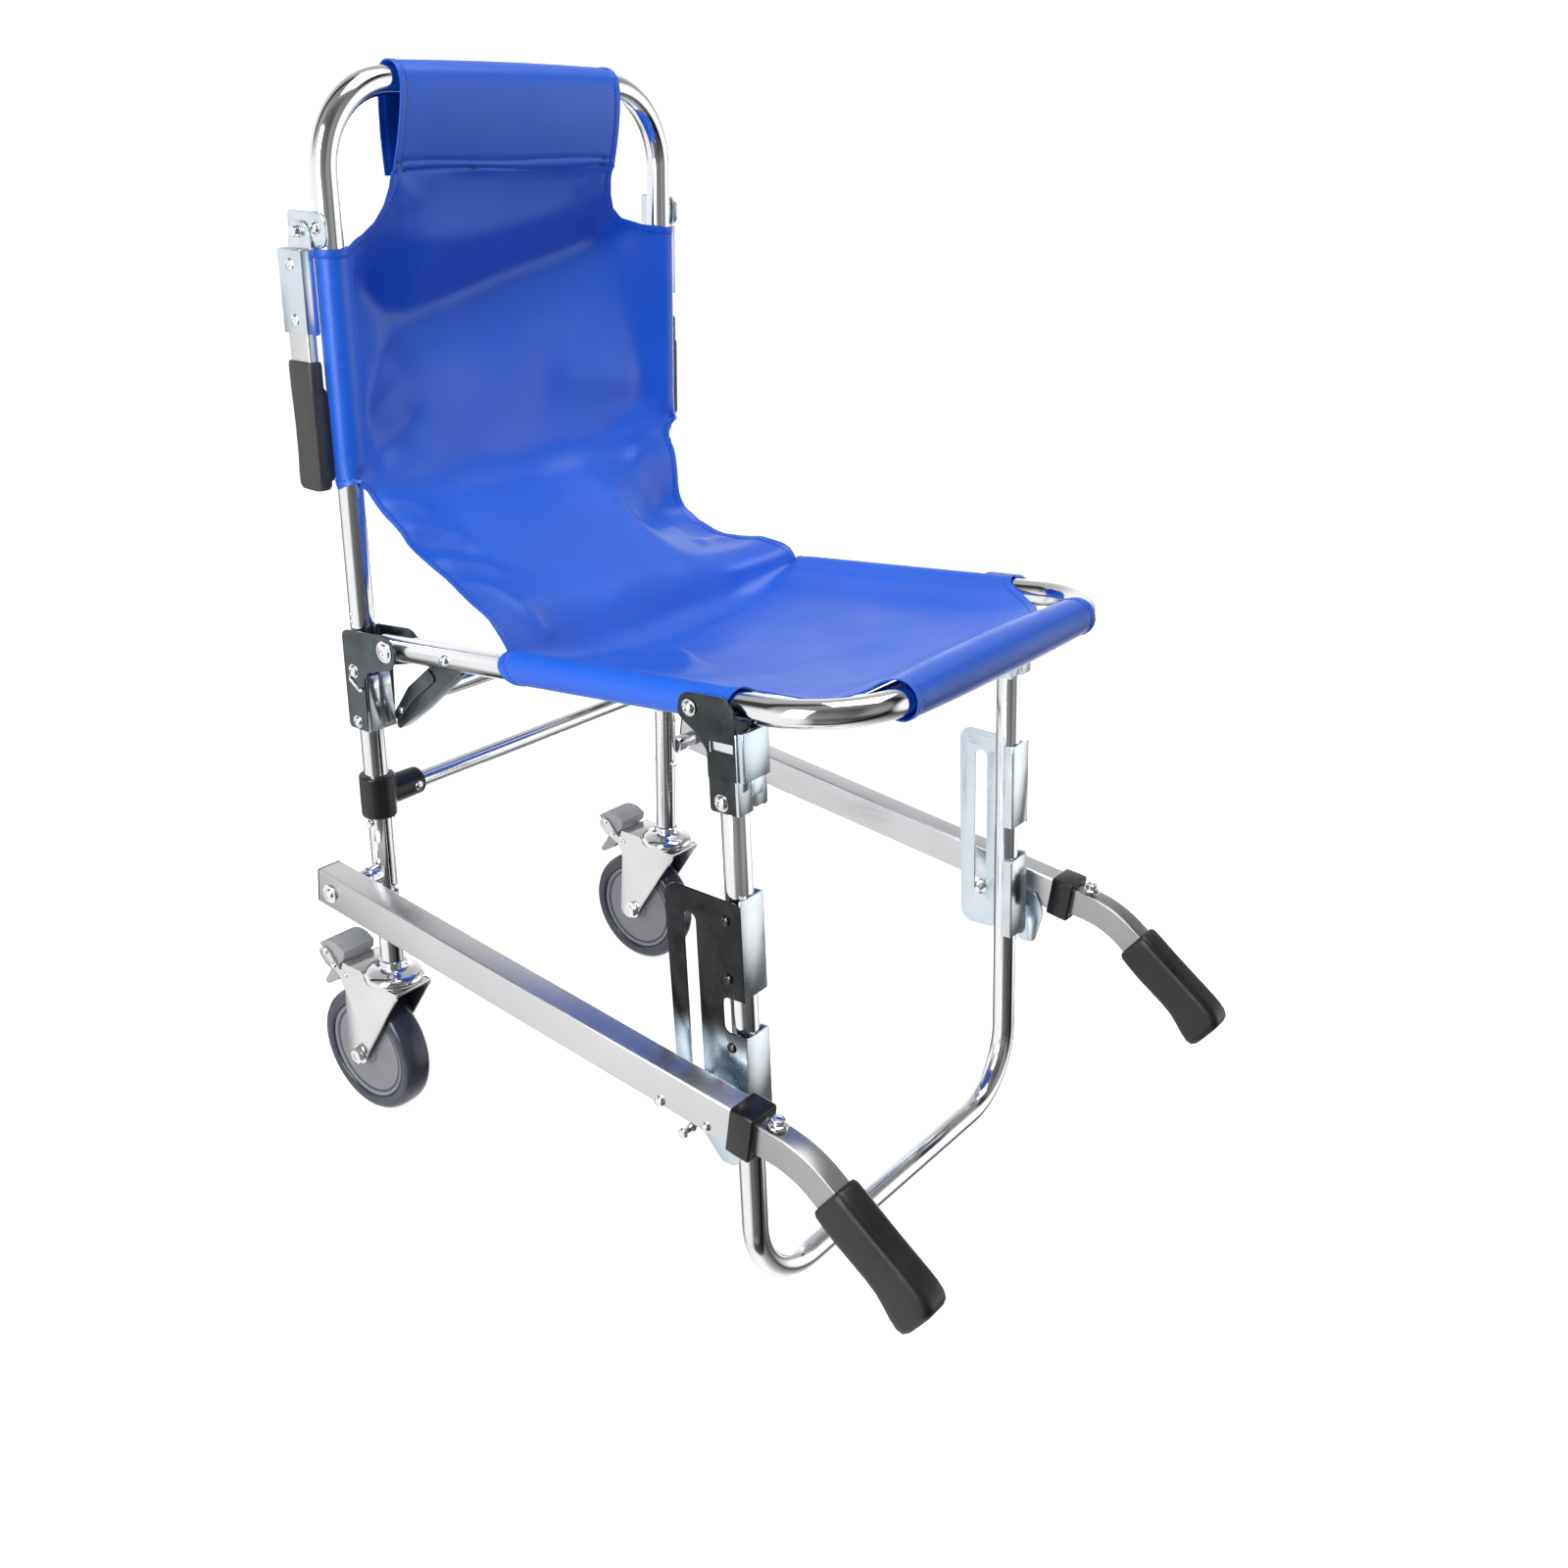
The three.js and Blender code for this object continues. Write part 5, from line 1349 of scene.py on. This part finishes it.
def sling():
    s = Sling()
    ring, a, b, faces = cloth_mesh(s)
    xyz = s.place(a, b) + s.normals(a, b) * relief(s, ring, a, b)[:, None]
    ob = solid("sling_sheet", Shape().add(xyz, faces).moved(CHAIR))
    m = ob.modifiers.new("thick", "SOLIDIFY")
    m.thickness = CLOTH * MM
    m.offset = 0.0
    m.use_even_offset = False
    settle(ob)
    shaded(ob, "vinyl", 60)
    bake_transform(ob)
    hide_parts("back_sling", "seat_sling")
    area = 0.5 * abs(np.sum(ring[:, 0] * np.roll(ring[:, 1], -1)
                            - np.roll(ring[:, 0], -1) * ring[:, 1]))

    hem, ok = inward(ring, HEM)
    runs, part = [], []
    for p, good in zip(hem, ok):
        if good and (not part or np.hypot(*(p - part[-1])) < 9):
            part.append(p)
            continue
        runs.append((part, 3.1, 1.1))
        part = []
    runs.append((part, 3.1, 1.1))
    runs = [run for run in runs if len(run[0]) > 3]
    across = np.arange(2 - SEAM_END, SEAM_END - 1.5, 2.0)
    for which in range(3):
        runs.append((np.c_[across, seam_line(s, which, across)], 3.4, 0.9))
    for which, x0, x1 in ((0, -128, -114), (1, -128, -116), (0, -48, -37), (0, 108, 122),
                          (1, 110, 122), (2, -70, -60), (2, -40, -30), (2, 112, 124)):
        for off in (-0.8, 0.5, 1.1):
            x = np.arange(x0, x1, 1.5)
            runs.append((np.c_[x, seam_line(s, which, x) + off + 0.5 * np.sin(x)], 2.6, 0.0))
    ob = plain("sling_thread", stitches(s, ring, runs).moved(CHAIR))
    ob.data.polygons.foreach_set("use_smooth", [True] * len(ob.data.polygons))
    ob.data.materials.append(MATS["thread"])
    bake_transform(ob)

for build in (tubes, pins, clamps, seat_brackets, stays, leg_brackets, slot_plates, rails, collars,
              latches, carry_handles, rear_handles, castors, sling):
    build()


# ------------------------------------------------------- floor, light and camera
def floor():
    """A pale floor that runs up into pale walls far away."""
    r, h = 14, 9
    corners = [(-r, -r), (r, -r), (r, r), (-r, r)]
    for name, verts, faces, glow in (                # metres
        ("floor", [(x, y, 0) for x, y in corners], [(0, 1, 2, 3)], 0.72),
        ("walls", [(x, y, z) for z in (-0.01, h) for x, y in corners],
         [(0, 1, 5, 4), (1, 2, 6, 5), (2, 3, 7, 6), (3, 0, 4, 7)], 1.0),
    ):
        ob = plain(name, Shape().add(verts, faces))
        ob.location.z = -0.0006
        nt, bsdf, _ = new_material(name)
        fill(nt, bsdf, {"Base Color": (0.86, 0.86, 0.865, 1), "Roughness": 0.7,
                        "Specular IOR Level": 0.1, "Emission Color": (1, 1, 1, 1),
                        "Emission Strength": glow})
        ob.data.materials.append(MATS[name])
        ob.visible_glossy = False
        ob.visible_diffuse = False
        ob.visible_shadow = name == "floor"


def area(name, centre, target, size, power):
    """A rectangular lamp at centre that points at target."""
    li = bpy.data.lights.new(name, "AREA")
    li.shape = "RECTANGLE"
    li.size, li.size_y = size
    li.energy = power
    ob = linked(name, li)
    ob.location = centre
    ob.rotation_euler = (Vector(target) - Vector(centre)).to_track_quat("-Z", "Y").to_euler()


def studio():
    """A room made of light: brightness by the angle to a few directions, and two lamps."""
    world = bpy.data.worlds.new("studio")
    bpy.context.scene.world = world
    world.use_nodes = True
    nt = world.node_tree
    way = nt.nodes.new("ShaderNodeTexCoord").outputs["Generated"]

    def shade(vector, steps):
        along = node(nt, "ShaderNodeVectorMath", {0: way, 1: vector}, operation="DOT_PRODUCT")
        ramp = node(nt, "ShaderNodeValToRGB", {"Fac": spread(nt, along.outputs["Value"], 0, 1, -1, 1)})
        el = ramp.color_ramp.elements
        for k, (at, level) in enumerate((steps[0], steps[-1])):
            el[k].position = (at + 1) / 2
            el[k].color = (level, level, level, 1)
        for at, level in steps[1:-1]:
            el.new((at + 1) / 2).color = (level, level, level, 1)
        return ramp.outputs["Color"]

    # pale floor below, grey band under the horizon, bright walls, softer ceiling
    total = shade((0, 0, 1), ((-1.0, 1.10), (-0.80, 0.85), (-0.62, 0.22), (-0.30, 0.20),
                              (-0.14, 0.55), (-0.08, 1.0), (0.30, 1.0), (0.60, 0.55), (1.0, 0.35)))
    for how, vector, steps in (
        # dark screens on both sides of the place that the object is seen from
        ("MULTIPLY", (-0.74, -0.55, 0.39), ((-1.0, 1.0), (0.04, 1.0), (0.12, 0.10), (0.30, 0.07),
                                            (0.42, 0.70), (0.70, 0.75), (0.86, 0.30), (1.0, 0.22))),
        # the room is dimmer in front of the seat
        ("MULTIPLY", (0.45, -0.89, 0.0), ((-1.0, 1.0), (0.15, 1.0), (0.55, 0.45), (1.0, 0.40))),
        # sunlit patches of floor to the left and to the right of the object, and one ahead
        ("LIGHTEN", (-0.80, 0.47, -0.36), ((-1.0, 0.0), (0.62, 0.0), (0.84, 0.95), (1.0, 1.0))),
        ("LIGHTEN", (0.853, 0.401, -0.331), ((-1.0, 0.0), (0.80, 0.0), (0.91, 1.6), (0.97, 3.2),
                                             (1.0, 3.6))),
        ("LIGHTEN", (0.745, -0.665, -0.050), ((-1.0, 0.0), (0.84, 0.0), (0.94, 1.1), (1.0, 1.4))),
    ):
        mix = node(nt, "ShaderNodeMix", {"Factor": 1.0, "A": total, "B": shade(vector, steps)},
                   data_type="RGBA", blend_type=how)
        total = mix.outputs["Result"]
    fill(nt, nt.nodes["Background"], {"Color": total, "Strength": 1.06})
    area("key", (-2.2, -0.1, 1.3), (0, 0, 0.5), (1.0, 2.2), 46)
    area("top", (0.5, -0.5, 3.0), (0, 0, 0.4), (1.8, 1.8), 44)


def camera():
    """The photographer's place: turned about Z, raised, and rolled a little."""
    turn, rise, roll = math.radians(-53.23), math.radians(22.79), math.radians(1.0)
    target, distance = Vector((8.9, Y0 - 298.5, 358.7)) * MM, 1407.4 * MM
    back = Vector((math.sin(turn) * math.cos(rise), -math.cos(turn) * math.cos(rise), math.sin(rise)))
    right = (-back).cross(Vector((0, 0, 1))).normalized()
    up = right.cross(-back)
    axes = Matrix((right * math.cos(roll) + up * math.sin(roll),
                   up * math.cos(roll) - right * math.sin(roll), back))
    cam = bpy.data.cameras.new("camera")
    cam.sensor_width = 36.0
    cam.lens = 37.018
    cam.clip_start = 0.05
    ob = linked("camera", cam)
    ob.matrix_world = Matrix.Translation(target + back * distance) @ axes.transposed().to_4x4()
    bpy.context.scene.camera = ob


floor()
studio()
camera()
bpy.context.scene.view_settings.view_transform = "Standard"
